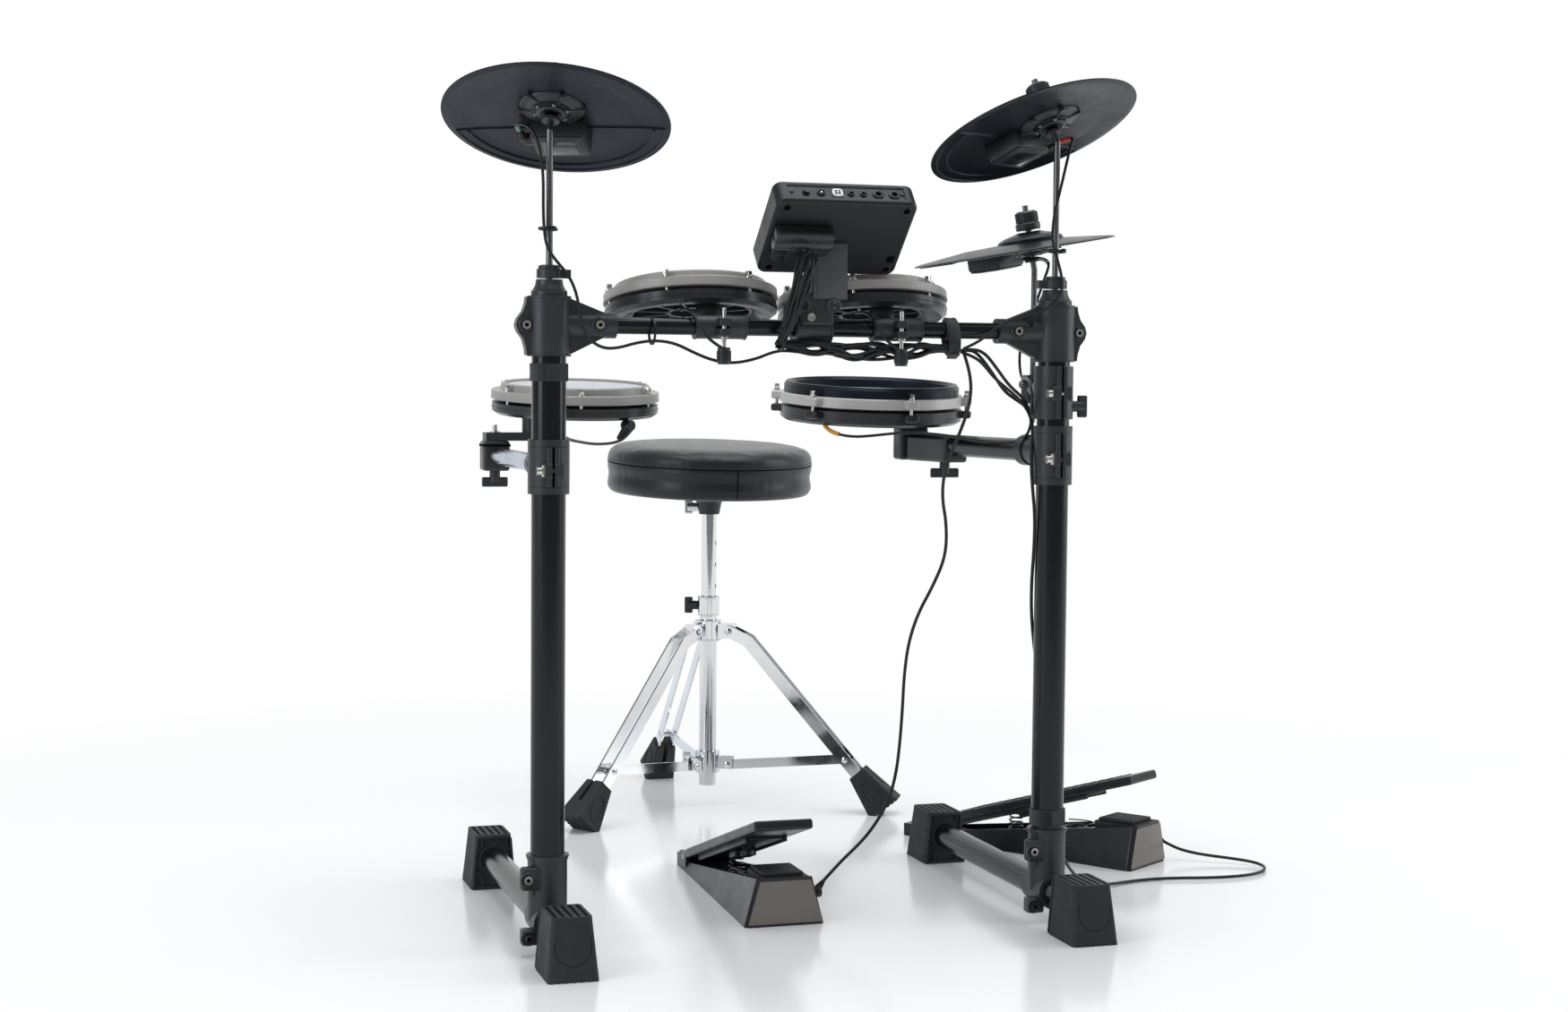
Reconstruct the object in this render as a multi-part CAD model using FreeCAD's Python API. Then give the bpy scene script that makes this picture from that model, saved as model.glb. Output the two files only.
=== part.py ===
import FreeCAD, Part
import math
import os

Vector = FreeCAD.Vector

# Rack. X runs along the crossbar, Y towards the player, Z up from the floor.
# Sizes are in millimetres from the floor point midway between the posts.
POST_X = 301.0
POST_RADIUS = 19.0
POST_BORE = 17.0
POST_BOTTOM = 58.0
POST_TOP = 727.0
CROSSBAR_Z = 696.0
CROSSBAR_RADIUS = 9.5
CROSSBAR_BORE = 8.0
CROSSBAR_HALF = 262.0
FOOT_TUBE_Z = 37.0
FOOT_TUBE_RADIUS = 16.0
FOOT_TUBE_BORE = 14.0
FRONT_FACE_Y = -142.0
REAR_FACE_Y = 402.0
FOOT_LENGTH = 72.0
FOOT_TOP_LENGTH = 62.0
FOOT_WIDTH = 56.0
FOOT_TOP_WIDTH = 44.0
FOOT_HEIGHT = 68.0
FOOT_TUBE_SEAT = 26.0
RUNNING_GAP = 0.05

# Clamps on the posts
TOP_CLAMP_LOW = 661.0
TOP_CLAMP_RADIUS = 23.5
SOCKET_REACH = 74.0
SOCKET_RADIUS = 14.5
SOCKET_BOSS_RADIUS = 8.5
LUG_REACH = 27.0
SOCKET_BOLT_REACH = 53.0
CONE_TOP = 745.0
COLLAR_LOW = 746.5
COLLAR_TOP = 756.0
COLLAR_RADIUS = 14.0
ROD_RADIUS = 3.75
FLOOR_CLAMP_SPAN = (510.0, 570.0)
SNARE_CLAMP_SPAN = (517.0, 586.0)
HIHAT_CLAMP_SPAN = (594.0, 656.0)
HIHAT_ARM_RADIUS = 9.0
POST_CLAMP_RADIUS = 23.0
STOP_RING = 8.0
CLAMP_SLOT = 3.0
BOLT_HEAD_RADIUS = 4.8
BOLT_HEAD_HEIGHT = 5.0
BOLT_SHANK_RADIUS = 2.6
BASE_CLAMP_TOP = 110.0
BASE_EAR_Z = 86.0
BASE_LUG_Z = 22.0

# Cymbal pads: each normal is the pad's tilt, each player direction points at the drummer
CYMBAL_RADIUS = 127.0
MOUNT_OFFSET = 25.0
ROD_BEND_BELOW = 32.0
RIDE_NORMAL = Vector(0.151, 0.339, 0.929)
CRASH_NORMAL = Vector(-0.214, 0.352, 0.911)
HIHAT_NORMAL = Vector(-0.172, 0.007, 0.985)
RIDE_PLAYER = Vector(0.41, 0.91, 0.0)
CRASH_PLAYER = Vector(-0.52, 0.85, 0.0)
HIHAT_PLAYER = Vector(-0.60, 0.80, 0.0)
RIDE_BEND_Z = 907.0
CRASH_BEND_Z = 917.0
HIHAT_BEND_Z = 777.0
HIHAT_ROD_X = 357.0
HIHAT_ROD_Y = 190.0
HIHAT_ROD_LOW = 586.0
PAD_HOLE_RADIUS = 7.0

# Drum pads: centre of the top, tilt towards the player in degrees, hoop radius.
# A flange is the height of the hoop's wide band, from its underside to its top.
TOM_TILT = 10.0
TOM_RADIUS = 101.0
TOM1_TOP = Vector(-112.0, 110.0, 746.0)
TOM2_TOP = Vector(99.0, 110.0, 746.0)
TOM1_CLAMP_X = -107.0
TOM2_CLAMP_X = 103.0
TOM_SLEEVE_HALF = 30.0
TOM_SLEEVE_RADIUS = 13.5
TOM_SCREW_Y = -19.0
TOM_KNOB_RADIUS = 7.3
FLOOR_TILT = -4.0
FLOOR_TOM_TOP = Vector(-199.0, 332.0, 631.0)
FLOOR_TOM_RADIUS = 104.0
SNARE_TOP = Vector(199.0, 351.0, 635.0)
SNARE_RADIUS = 119.0
TOM_FLANGE = (-20.0, -9.0)
SNARE_FLANGE = (-27.0, -14.0)
HOOP_WALL = 16.0
# Underside of a head below its pad's top; the snare's lies deeper, behind its rubber guard.
HEAD_LOW = -7.0
GUARDED_HEAD_LOW = -18.0
SCREW_GAP = 4.5
SHELL_GAP = 0.4
DISH_DEPTH = 13.0
PAD_HEIGHT = 39.0
SNARE_HEIGHT = 50.0
FLOOR_ARM_RADIUS = 10.5
FLOOR_ARM_END = Vector(-302.0, 322.0, 541.0)
SNARE_ARM_RADIUS = 13.5
SNARE_ARM_END = Vector(250.0, 340.0, 556.0)
SNARE_CRADLE = (225.0, 325.0)
SNARE_SCREW_ALONG = 254.0
JAW_WALL = 8.0
FLOOR_REACH = 46.0
SNARE_REACH = -10.0
SNARE_LUGS = 6
# Turn of the first lug about the pad's axis, in degrees from the crossbar's direction
SNARE_LUG_TURN = 34.5

# Sound module: lower rear edge of the case, and its tilt towards the player in degrees
MODULE_EDGE = Vector(22.0, -70.0, 834.0)
MODULE_TILT = 42.0
MODULE_WIDTH = 165.0
MODULE_LENGTH = 114.0
MODULE_THICK = 32.0
MODULE_CORNER = 11.0
BUTTON_X = -47.0
BRACKET_X = (-6.0, 36.0)
BRACKET_Y = (-24.0, -18.0)
BRACKET_Z = (728.0, 806.0)
GRIP_X = (-20.0, 22.0)
GRIP_RADIUS = 18.0
GRIP_BOLT = Vector(-8.0, -24.0, 708.0)

# Pedals: middle of the front edge on the floor, and turn about Z in degrees
KICK_FRONT = Vector(-9.0, 45.0, 0.0)
KICK_TURN = 0.0
HIHAT_FRONT = Vector(554.0, 241.0, 0.0)
HIHAT_TURN = 35.0
PEDAL_LENGTH = 368.0
PEDAL_FRONT_WIDTH = 98.0
PEDAL_FRONT_TOP = 68.0
PEDAL_HEEL_WIDTH = 68.0
PEDAL_HEIGHT = 57.0
PEDAL_HEEL_HEIGHT = 5.0
PEDAL_PIN_Y = 340.0
PEDAL_PIN_Z = 16.0
PEDAL_KNUCKLE_RADIUS = 6.5
BOARD_WIDTH = 72.0
BOARD_SPAN = (-4.0, 8.0)
BOARD_TOE_Y = 8.0
BOARD_TOE_Z = 116.0

# Throne: three legs at even angles about its centre
THRONE_CENTRE = Vector(107.0, 806.0, 0.0)
FIRST_LEG_ANGLE = 92.0
SEAT_RADIUS = 155.0
SEAT_LOW = 468.0
SEAT_TOP = 542.0
TUBE_RADIUS = 12.7
TUBE_LOW = 33.0
TUBE_TOP = 300.0
THRONE_POST_RADIUS = 11.0
THRONE_POST_LOW = 180.0
THRONE_POST_TOP = 458.0
LEG_PIVOT_R = 33.0
LEG_PIVOT_Z = 264.0
LEG_BEND_R = 62.0
LEG_BEND_Z = 250.0
LEG_FOOT_R = 258.0
LEG_FOOT_Z = 22.0
LEG_BAR_WIDTH = 17.0
LEG_BAR_THICK = 3.0
LEG_BAR_GAP = 10.0
STRUT_INNER_R = 31.0
STRUT_INNER_Z = 64.0
STRUT_OUTER_R = 209.0
STRUT_OUTER_Z = 79.0
PIN_RADIUS = 3.0

# Leads: routes chosen by hand along the photographed run
LEAD_DIAMETER = 4.0
KICK_ROUTE = [
    (185, -7, 669), (193, -10, 645), (194, -6, 612), (184, 4, 574), (172, 14, 540), (172, 26, 504),
    (183, 36, 468), (186, 46, 430), (174, 56, 394), (159, 64, 362), (150, 72, 326), (148, 80, 286),
    (149, 87, 244), (148, 92, 202), (145, 95, 166), (137, 95, 136), (123, 93, 112), (106, 88, 93),
    (88, 82, 79), (71, 75, 68), (57, 70, 57), (45, 66, 47)]
HIHAT_ROUTE = [
    (318, 22, 128), (321, 24, 110), (327, 29, 90), (337, 37, 69), (352, 50, 49), (374, 70, 30),
    (402, 96, 16), (430, 122, 7), (462, 143, 3), (504, 154, 3), (548, 153, 3), (590, 142, 3),
    (634, 140, 3), (672, 152, 3), (694, 178, 4), (692, 208, 5), (667, 230, 7), (641, 247, 9),
    (622, 260, 12), (606, 268, 17), (592, 273, 25)]
RIDE_ROUTE = [
    (-320, 60, 880), (-320, 50, 864), (-314, 34, 853), (-310, 18, 840), (-308, 7, 822), (-309, -3, 801),
    (-306, -10, 779), (-295, -12, 764), (-283, -15, 750), (-276, -21, 733), (-273, -26, 713),
    (-270, -27, 693), (-260, -24, 678), (-244, -19, 670), (-226, -15, 671), (-206, -14, 677),
    (-184, -14, 680), (-162, -14, 677), (-140, -11, 667), (-118, -5, 659), (-94, -4, 655),
    (-68, -9, 659), (-51, -14, 668)]
CRASH_ROUTE = [
    (313, 61, 888), (314, 53, 872), (311, 38, 860), (305, 22, 850), (296, 10, 836), (293, 1, 818),
    (294, -7, 797), (300, -12, 775), (303, -16, 757), (300, -23, 742), (291, -27, 730), (277, -27, 721),
    (259, -24, 715), (242, -21, 710), (227, -18, 703), (213, -16, 694), (198, -15, 682), (181, -15, 675)]
HIHAT_PAD_ROUTE = [
    (360, 258, 770), (360, 256, 755), (359, 247, 739), (356, 232, 726), (352, 216, 714), (347, 203, 698),
    (341, 195, 679), (337, 187, 660), (334, 175, 646), (328, 156, 641), (321, 130, 642), (312, 102, 641),
    (303, 76, 638), (296, 54, 631), (292, 36, 622)]
HARNESS_ROUTE = [
    (-15, -38, 775), (-19, -44, 764), (-24, -45, 749), (-30, -41, 728), (-36, -34, 703), (-41, -27, 683)]
BUNDLE_ROUTE = [
    (-40, -12, 676), (-22, -14, 669), (0, -15, 664), (24, -16, 659), (50, -15, 654), (78, -7, 655),
    (104, -3, 659), (128, -7, 667), (148, -12, 672), (167, -12, 673)]
RIGHT_BRANCH_ROUTE = [
    (184, 2, 672), (196, -3, 671), (209, -6, 664), (225, -5, 649), (243, 0, 631), (260, 6, 616),
    (275, 13, 604), (284, 24, 594)]
FLOOR_TOM_ROUTE = [
    (-149, 240, 575), (-160, 228, 565), (-176, 212, 560), (-196, 190, 559), (-216, 162, 560),
    (-236, 132, 563), (-254, 100, 566), (-268, 68, 570), (-277, 38, 574), (-279, 14, 580)]
SNARE_ROUTE = [
    (130, 270, 570), (136, 252, 564), (154, 234, 564), (178, 216, 569), (202, 196, 573), (226, 170, 576),
    (246, 138, 576), (262, 104, 576), (272, 72, 576), (276, 44, 577), (276, 24, 578)]
HELD_ROUTES = (RIDE_ROUTE, CRASH_ROUTE, HIHAT_PAD_ROUTE, RIGHT_BRANCH_ROUTE, FLOOR_TOM_ROUTE, SNARE_ROUTE)
TOM_LOOP_STEPS = [
    (-36, 34, 19), (-36, 20, 20), (-35, 5, 19), (-33, -9, 15), (-30, -19, 4), (-24, -25, -9),
    (-14, -29, -19), (-2, -31, -26)]
PLUG_LOCAL = Vector(41.0, 15.0, 35.0)
PLUG_RADIUS = 6.5
STRAPS = [(-POST_X, 634.0), (POST_X, 114.0)]
CROSSBAR_STRAP = (163.0, 176.0)
STRAP_WIDTH = 19.0
STRAP_THICK = 1.6

shapes = {}


def cylinder(start, end, radius, bore=0.0):
    """Round bar, or a tube when it has a bore, between two points."""
    axis = end - start
    bar = Part.makeCylinder(radius, axis.Length, start, axis)
    if bore:
        bar = bar.cut(Part.makeCylinder(bore, axis.Length, start, axis))
    return bar


def taper(start, end, radius_start, radius_end):
    """Cone frustum between two points."""
    axis = end - start
    return Part.makeCone(radius_start, radius_end, axis.Length, start, axis)


def block(x_span, y_span, z_span):
    """Box between pairs of limits."""
    size = Vector(x_span[1] - x_span[0], y_span[1] - y_span[0], z_span[1] - z_span[0])
    return Part.makeBox(size.x, size.y, size.z, Vector(x_span[0], y_span[0], z_span[0]))


def rounded_block(x_span, y_span, z_span, radius):
    """Box with all its edges rounded."""
    box = block(x_span, y_span, z_span)
    return box.makeFillet(radius, box.Edges)


def turned(profile):
    """Solid of revolution about local Z from a closed outline of radius and height."""
    points = [Vector(radius, 0, height) for radius, height in profile]
    face = Part.Face(Part.makePolygon(points + [points[0]]))
    return face.revolve(Vector(0, 0, 0), Vector(0, 0, 1), 360)


def sheet(outline, thickness):
    """Plate of an X-Z outline, spread evenly about Y = 0."""
    points = [Vector(x, -thickness / 2, z) for x, z in outline]
    face = Part.Face(Part.makePolygon(points + [points[0]]))
    return face.extrude(Vector(0, thickness, 0))


def link(start, end, width, y_low, y_high):
    """Flat bar with round ends between two X-Z points."""
    first = Vector(start[0], y_low, start[1])
    last = Vector(end[0], y_low, end[1])
    along = (last - first).normalize()
    side = Vector(-along.z, 0, along.x) * (width / 2)
    cap = along * (width / 2)
    edges = [
        Part.LineSegment(first + side, last + side).toShape(),
        Part.Arc(last + side, last + cap, last - side).toShape(),
        Part.LineSegment(last - side, first - side).toShape(),
        Part.Arc(first - side, first - cap, first + side).toShape()]
    return Part.Face(Part.Wire(edges)).extrude(Vector(0, y_high - y_low, 0))


def joined(pieces):
    """One solid made from pieces that overlap."""
    return pieces[0].multiFuse(pieces[1:]).removeSplitter()


def posed(shape, origin, up, along):
    """Copy of a shape with its Z turned to up and its X turned towards along."""
    rotation = FreeCAD.Rotation(along, up.cross(along), up, "ZXY")
    copy = shape.copy()
    copy.Placement = FreeCAD.Placement(origin, rotation).multiply(copy.Placement)
    return copy


def turned_about_z(shape, degrees, centre):
    """Copy of a shape turned about the vertical through a point and moved there."""
    copy = shape.copy()
    rotation = FreeCAD.Rotation(Vector(0, 0, 1), degrees)
    copy.Placement = FreeCAD.Placement(centre, rotation).multiply(copy.Placement)
    return copy


def bolt(head_face, axis, length):
    """Socket-head bolt: the head stands on head_face and the shank runs the other way."""
    out = Vector(axis).normalize()
    head = cylinder(head_face, head_face + out * BOLT_HEAD_HEIGHT, BOLT_HEAD_RADIUS)
    shank = cylinder(head_face + out, head_face - out * length, BOLT_SHANK_RADIUS)
    socket = cylinder(head_face + out * 2.5, head_face + out * (BOLT_HEAD_HEIGHT + 1), 2.3)
    return joined([head, shank]).cut(socket)


def drill(head_face, axis, length):
    """Hole that a bolt's shank fills."""
    out = Vector(axis).normalize()
    return cylinder(head_face + out, head_face - out * length, BOLT_SHANK_RADIUS)


def wing_screw(face, axis, length, span):
    """Hand screw: a shank into the clamp, a hub and two wings."""
    out = Vector(axis).normalize()
    across = Vector(0, 0, 1) if abs(out.z) < 0.9 else Vector(1, 0, 0)
    shank = cylinder(face - out * length, face + out * 2, 3.5)
    hub = cylinder(face, face + out * 15, 6.5)
    wing = Part.makeBox(span, 5.5, 12)
    wing.translate(Vector(-span / 2, -2.75, 0))
    wing = wing.makeFillet(2.0, wing.Edges)
    wing = posed(wing, face + out * 8, out, across)
    return joined([shank, hub, wing])


def cord(route, diameter):
    """Round tube along straight runs with an arc at each point as large as its runs allow."""
    points = [Vector(*p) for p in route]
    edges = []
    radii = []
    start = points[0]
    for before, corner, after in zip(points, points[1:], points[2:]):
        back = before - corner
        ahead = after - corner
        reach = 0.45 * min(back.Length, ahead.Length)
        half_turn = (math.pi - back.getAngle(ahead)) / 2
        radii.append(reach / math.tan(half_turn))
        back.normalize()
        ahead.normalize()
        entry = corner + back * reach
        leave = corner + ahead * reach
        bisector = (back + ahead).normalize()
        to_middle = radii[-1] / math.cos(half_turn) - radii[-1]
        edges.append(Part.LineSegment(start, entry).toShape())
        edges.append(Part.Arc(entry, corner + bisector * to_middle, leave).toShape())
        start = leave
    edges.append(Part.LineSegment(start, points[-1]).toShape())
    path = Part.Wire(edges)
    section = Part.Wire(Part.makeCircle(diameter / 2, points[0], points[1] - points[0]))
    tube = path.makePipeShell([section], True, False)
    expected = math.pi * diameter ** 2 / 4 * path.Length
    print("cord", len(route), "points, length", round(path.Length), "least radius", round(min(radii)),
          "volume ratio", round(tube.Volume / expected, 4))
    return tube


def build_rack():
    """Posts, crossbar, foot tubes, rubber feet and the clamps that join them."""
    bolts = []
    for name, x in (("left_post", -POST_X), ("right_post", POST_X)):
        shapes[name] = [cylinder(Vector(x, 0, POST_BOTTOM), Vector(x, 0, POST_TOP), POST_RADIUS, POST_BORE)]
    left_end = Vector(-CROSSBAR_HALF, 0, CROSSBAR_Z)
    right_end = Vector(CROSSBAR_HALF, 0, CROSSBAR_Z)
    shapes["crossbar"] = [cylinder(left_end, right_end, CROSSBAR_RADIUS, CROSSBAR_BORE)]
    tube_front = FRONT_FACE_Y + FOOT_TUBE_SEAT
    tube_rear = REAR_FACE_Y - FOOT_TUBE_SEAT
    shapes["foot_tubes"] = []
    for x in (-POST_X, POST_X):
        front = Vector(x, tube_front, FOOT_TUBE_Z)
        rear = Vector(x, tube_rear, FOOT_TUBE_Z)
        shapes["foot_tubes"].append(cylinder(front, rear, FOOT_TUBE_RADIUS, FOOT_TUBE_BORE))
    foot = rubber_foot()
    shapes["rubber_feet"] = []
    shapes["base_clamps"] = []
    shapes["top_clamps"] = []
    for side in (-1, 1):
        x = side * POST_X
        shapes["rubber_feet"].append(turned_about_z(foot, 0, Vector(x, FRONT_FACE_Y, 0)))
        shapes["rubber_feet"].append(turned_about_z(foot, 180, Vector(x, REAR_FACE_Y, 0)))
        clamp, clamp_bolts = base_clamp(x)
        shapes["base_clamps"].append(clamp)
        bolts += clamp_bolts
        pieces, clamp_bolts = top_clamp(side)
        shapes["top_clamps"] += pieces
        bolts += clamp_bolts
    return bolts


def rubber_foot():
    """Tapered rubber block with a tube seat, ribs on top and a serrated sole; outer face at Y = 0."""
    slope = FOOT_LENGTH - FOOT_TOP_LENGTH
    wires = []
    for half, front, height in ((FOOT_WIDTH / 2, 0, 0), (FOOT_TOP_WIDTH / 2, slope, FOOT_HEIGHT)):
        outline = [(-half, front), (half, front), (half, FOOT_LENGTH), (-half, FOOT_LENGTH)]
        points = [Vector(x, y, height) for x, y in outline]
        wires.append(Part.makePolygon(points + [points[0]]))
    foot = Part.makeLoft(wires, True, True)
    upright = [edge for edge in foot.Edges if abs(edge.Vertexes[0].Z - edge.Vertexes[1].Z) > 10]
    foot = foot.makeFillet(5.0, upright)
    seat_start = Vector(0, FOOT_TUBE_SEAT, FOOT_TUBE_Z)
    cuts = [cylinder(seat_start, seat_start + Vector(0, FOOT_LENGTH, 0), FOOT_TUBE_RADIUS)]
    rib_pitch = 8.4
    for step in range(-2, 3):
        x = step * rib_pitch
        groove = block((x - 1.6, x + 1.6), (slope + 3, FOOT_LENGTH - 4), (FOOT_HEIGHT - 4, FOOT_HEIGHT + 1))
        cuts.append(groove)
    for step in range(-3, 3):
        x = (step + 0.5) * rib_pitch
        notch = sheet([(x - 3, -1), (x + 3, -1), (x, 3)], 4 * FOOT_LENGTH)
        cuts.append(notch)
    face_ring = cylinder(Vector(0, -1, FOOT_TUBE_Z), Vector(0, 7, FOOT_TUBE_Z), 20.5, 19.5)
    cuts.append(face_ring.common(foot).cut(foot.translated(Vector(0, 0.8, 0))))
    return foot.cut(cuts)


def base_clamp(x):
    """Cross clamp at the foot of a post: an upright sleeve on a sleeve round the foot tube."""
    upright = cylinder(Vector(x, 0, FOOT_TUBE_Z), Vector(x, 0, BASE_CLAMP_TOP), 22)
    rim = cylinder(Vector(x, 0, BASE_CLAMP_TOP - 5), Vector(x, 0, BASE_CLAMP_TOP), 23)
    across = cylinder(Vector(x, -27, FOOT_TUBE_Z), Vector(x, 27, FOOT_TUBE_Z), 20.5)
    ear = rounded_block((x - 33, x - 10), (-20, -6), (BASE_EAR_Z - 13, BASE_EAR_Z + 13), 4.0)
    lug = rounded_block((x - 33, x - 12), (-24, -8), (BASE_LUG_Z - 9, BASE_LUG_Z + 9), 3.0)
    clamp = joined([upright, rim, across, ear, lug])
    bolts = [
        (Vector(x - 26, -20, BASE_EAR_Z), Vector(0, -1, 0), 12),
        (Vector(x - 26, -24, BASE_LUG_Z), Vector(0, -1, 0), 12)]
    cuts = [
        cylinder(Vector(x, 0, POST_BOTTOM), Vector(x, 0, BASE_CLAMP_TOP + 10), POST_RADIUS),
        cylinder(Vector(x, -60, FOOT_TUBE_Z), Vector(x, 60, FOOT_TUBE_Z), FOOT_TUBE_RADIUS),
        block((x - 40, x - 17), (-14.5, -12.5), (66, BASE_CLAMP_TOP + 1))]
    cuts += [drill(*spec) for spec in bolts]
    return clamp.cut(cuts), [bolt(*spec) for spec in bolts]


def top_clamp(side):
    """Corner clamp at a post's head, with the reducer and the collar that hold the cymbal rod."""
    x = side * POST_X
    inward = -side
    axis_point = Vector(x, 0, CROSSBAR_Z)
    barrel = cylinder(Vector(x, 0, TOP_CLAMP_LOW), Vector(x, 0, POST_TOP), TOP_CLAMP_RADIUS)
    socket = cylinder(axis_point, axis_point + Vector(inward * SOCKET_REACH, 0, 0), SOCKET_RADIUS)
    web = sheet([(x + inward * reach, z) for reach, z in
                 ((8, 663), (8, 725), (24, 724), (60, 710), (68, 704), (68, 688), (60, 682), (24, 664))], 11)
    lug = sheet([(x - inward * reach, z) for reach, z in
                 ((8, 662), (26, 662), (27, 670), (30, 680), (36, 688), (38, 695), (36, 702), (30, 710),
                  (27, 719), (26, 726), (8, 726))], 15)
    bolt_x = x + inward * SOCKET_BOLT_REACH
    boss_face = Vector(bolt_x, -SOCKET_RADIUS - 1, CROSSBAR_Z)
    boss = cylinder(Vector(bolt_x, 0, CROSSBAR_Z), boss_face, SOCKET_BOSS_RADIUS)
    clamp = joined([barrel, socket, web, lug, boss])
    bolts = [
        (Vector(x - inward * LUG_REACH, -7.5, CROSSBAR_Z - 1), Vector(0, -1, 0), 12),
        (boss_face, Vector(0, -1, 0), 5)]
    cuts = [
        cylinder(Vector(x, 0, TOP_CLAMP_LOW - 1), Vector(x, 0, POST_TOP), POST_RADIUS),
        cylinder(Vector(inward * -CROSSBAR_HALF, 0, CROSSBAR_Z),
                 axis_point + Vector(inward * (SOCKET_REACH + 1), 0, 0), CROSSBAR_RADIUS)]
    cuts += [drill(*spec) for spec in bolts]
    clamp = clamp.cut(cuts)
    reducer = turned([(ROD_RADIUS, POST_TOP), (20, POST_TOP), (20, POST_TOP + 5), (18, POST_TOP + 7),
                      (15.5, POST_TOP + 12), (14.5, CONE_TOP), (ROD_RADIUS, CONE_TOP)])
    collar = turned([(0, COLLAR_LOW), (COLLAR_RADIUS, COLLAR_LOW), (COLLAR_RADIUS, COLLAR_TOP),
                     (COLLAR_RADIUS - 2, COLLAR_TOP + 1), (COLLAR_RADIUS - 2, COLLAR_TOP + 4),
                     (8, COLLAR_TOP + 5), (0, COLLAR_TOP + 5)])
    ear = block((inward * 16 - 7, inward * 16 + 7), (-6, 6), (COLLAR_LOW, COLLAR_TOP))
    rod_hole = cylinder(Vector(0, 0, COLLAR_LOW - 1), Vector(0, 0, COLLAR_TOP + 6), ROD_RADIUS)
    collar = joined([collar, ear]).cut(rod_hole)
    aside = Vector(x, 0, 0)
    pieces = [clamp, reducer.translated(aside), collar.translated(aside)]
    return pieces, [bolt(*spec) for spec in bolts]


def split_ring(x, span, bolt_z, radius):
    """Clamp ring round a post, split down the front and drawn up by one bolt across the split."""
    low, high = span
    ring = cylinder(Vector(x, 0, low), Vector(x, 0, high), radius)
    lips = rounded_block((x - 7, x + 7), (-radius - 4, -8), span, 2.0)
    bosses = rounded_block((x - 13, x + 13), (-radius - 5, -8), (bolt_z - 9, bolt_z + 9), 3.0)
    spec = (Vector(x - 13, -radius - 1.5, bolt_z), Vector(-1, 0, 0), 22)
    cuts = [
        block((x - CLAMP_SLOT / 2, x + CLAMP_SLOT / 2), (-radius - 6, 0), (low - 1, high + 1)),
        drill(*spec)]
    return joined([ring, lips, bosses]), cuts, bolt(*spec)


def build_post_clamps():
    """Hi-hat clamp, floor-tom clamp and snare clamp."""
    bolts = []
    low, high = HIHAT_CLAMP_SPAN
    ring, cuts, fastener = split_ring(POST_X, HIHAT_CLAMP_SPAN, 624, POST_CLAMP_RADIUS)
    rod = Vector(HIHAT_ROD_X, HIHAT_ROD_Y, 0)
    holder = rounded_block((rod.x - 12, rod.x + 12), (rod.y - 12, rod.y + 12), (610, 646), 4.0)
    reach = cylinder(Vector(POST_X, 0, 628), rod + Vector(0, 0, 628), HIHAT_ARM_RADIUS)
    rod_hole = cylinder(rod + Vector(0, 0, low - 20), rod + Vector(0, 0, high + 20), ROD_RADIUS)
    side_screw = (Vector(POST_X + POST_CLAMP_RADIUS, 0, 609), Vector(1, 0, 0), 2.5, 26)
    rod_spec = (Vector(rod.x - 12, rod.y, 634), Vector(-1, 0, 0), 5)
    post_hole = cylinder(Vector(POST_X, 0, low - 1), Vector(POST_X, 0, high + 1), POST_RADIUS)
    screw = wing_screw(*side_screw)
    cuts += [post_hole, rod_hole, drill(*rod_spec), screw]
    shapes["hihat_clamp"] = [joined([ring, reach, holder]).cut(cuts), screw]
    bolts += [fastener, bolt(*rod_spec)]
    for name, x, span in (("floor_clamp", -POST_X, FLOOR_CLAMP_SPAN),
                          ("snare_clamp", POST_X, SNARE_CLAMP_SPAN)):
        low, high = span
        lower = cylinder(Vector(x, 0, low), Vector(x, 0, low + STOP_RING), POST_CLAMP_RADIUS, POST_RADIUS)
        upper = cylinder(Vector(x, 0, high - STOP_RING), Vector(x, 0, high), POST_CLAMP_RADIUS, POST_RADIUS)
        shapes[name] = [lower, upper]
    return bolts


def build_arm(name, x, span, arm_end, radius, saddle_span=None):
    """Swinging arm: a split ring that turns on the post, a tube towards the player and its hand screw."""
    low, high = span
    turn_span = (low + STOP_RING + SHELL_GAP, high - STOP_RING - SHELL_GAP)
    middle = Vector(x, 0, arm_end.z)
    ring, cuts, fastener = split_ring(x, turn_span, (low + high) / 2 - 4, POST_CLAMP_RADIUS)
    heading = (arm_end - middle).normalize()
    root = taper(middle + heading * 12, middle + heading * 46, 20, radius + 3)
    hub = cylinder(middle + heading * 44, middle + heading * 60, radius + 5)
    post_hole = cylinder(Vector(x, 0, low - 1), Vector(x, 0, high + 1), POST_RADIUS + RUNNING_GAP)
    tube_start = middle + heading * 26
    tube = cylinder(tube_start, arm_end + heading * 14, radius)
    swivel = joined([ring, root, hub]).cut(cuts + [post_hole, tube])
    jaw = rounded_block((arm_end.x - radius - 6, arm_end.x + radius + 6), (arm_end.y - 15, arm_end.y + 15),
                        (arm_end.z - radius - JAW_WALL, arm_end.z + radius + JAW_WALL), 4.0)
    under = Vector(0, 0, -radius - JAW_WALL)
    tube_bore = cylinder(tube_start, arm_end + heading * 15, radius - 2)
    pieces = [swivel, tube.cut(tube_bore), fastener]
    if saddle_span:
        screw_face = middle + heading * SNARE_SCREW_ALONG + under
        screw = wing_screw(screw_face, Vector(0, 0, -1), 6, 38)
        saddle = rounded_block(saddle_span, (-17, 17), (-radius - JAW_WALL, radius - 3), 4.0)
        saddle = posed(saddle, middle, Vector(0, 0, 1), heading)
        pieces += [saddle.cut([tube, screw]), jaw.cut(tube), screw]
    else:
        screw = wing_screw(arm_end + under, Vector(0, 0, -1), 6, 32)
        pieces += [jaw.cut([tube, screw]), screw]
    shapes[name] = pieces


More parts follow.
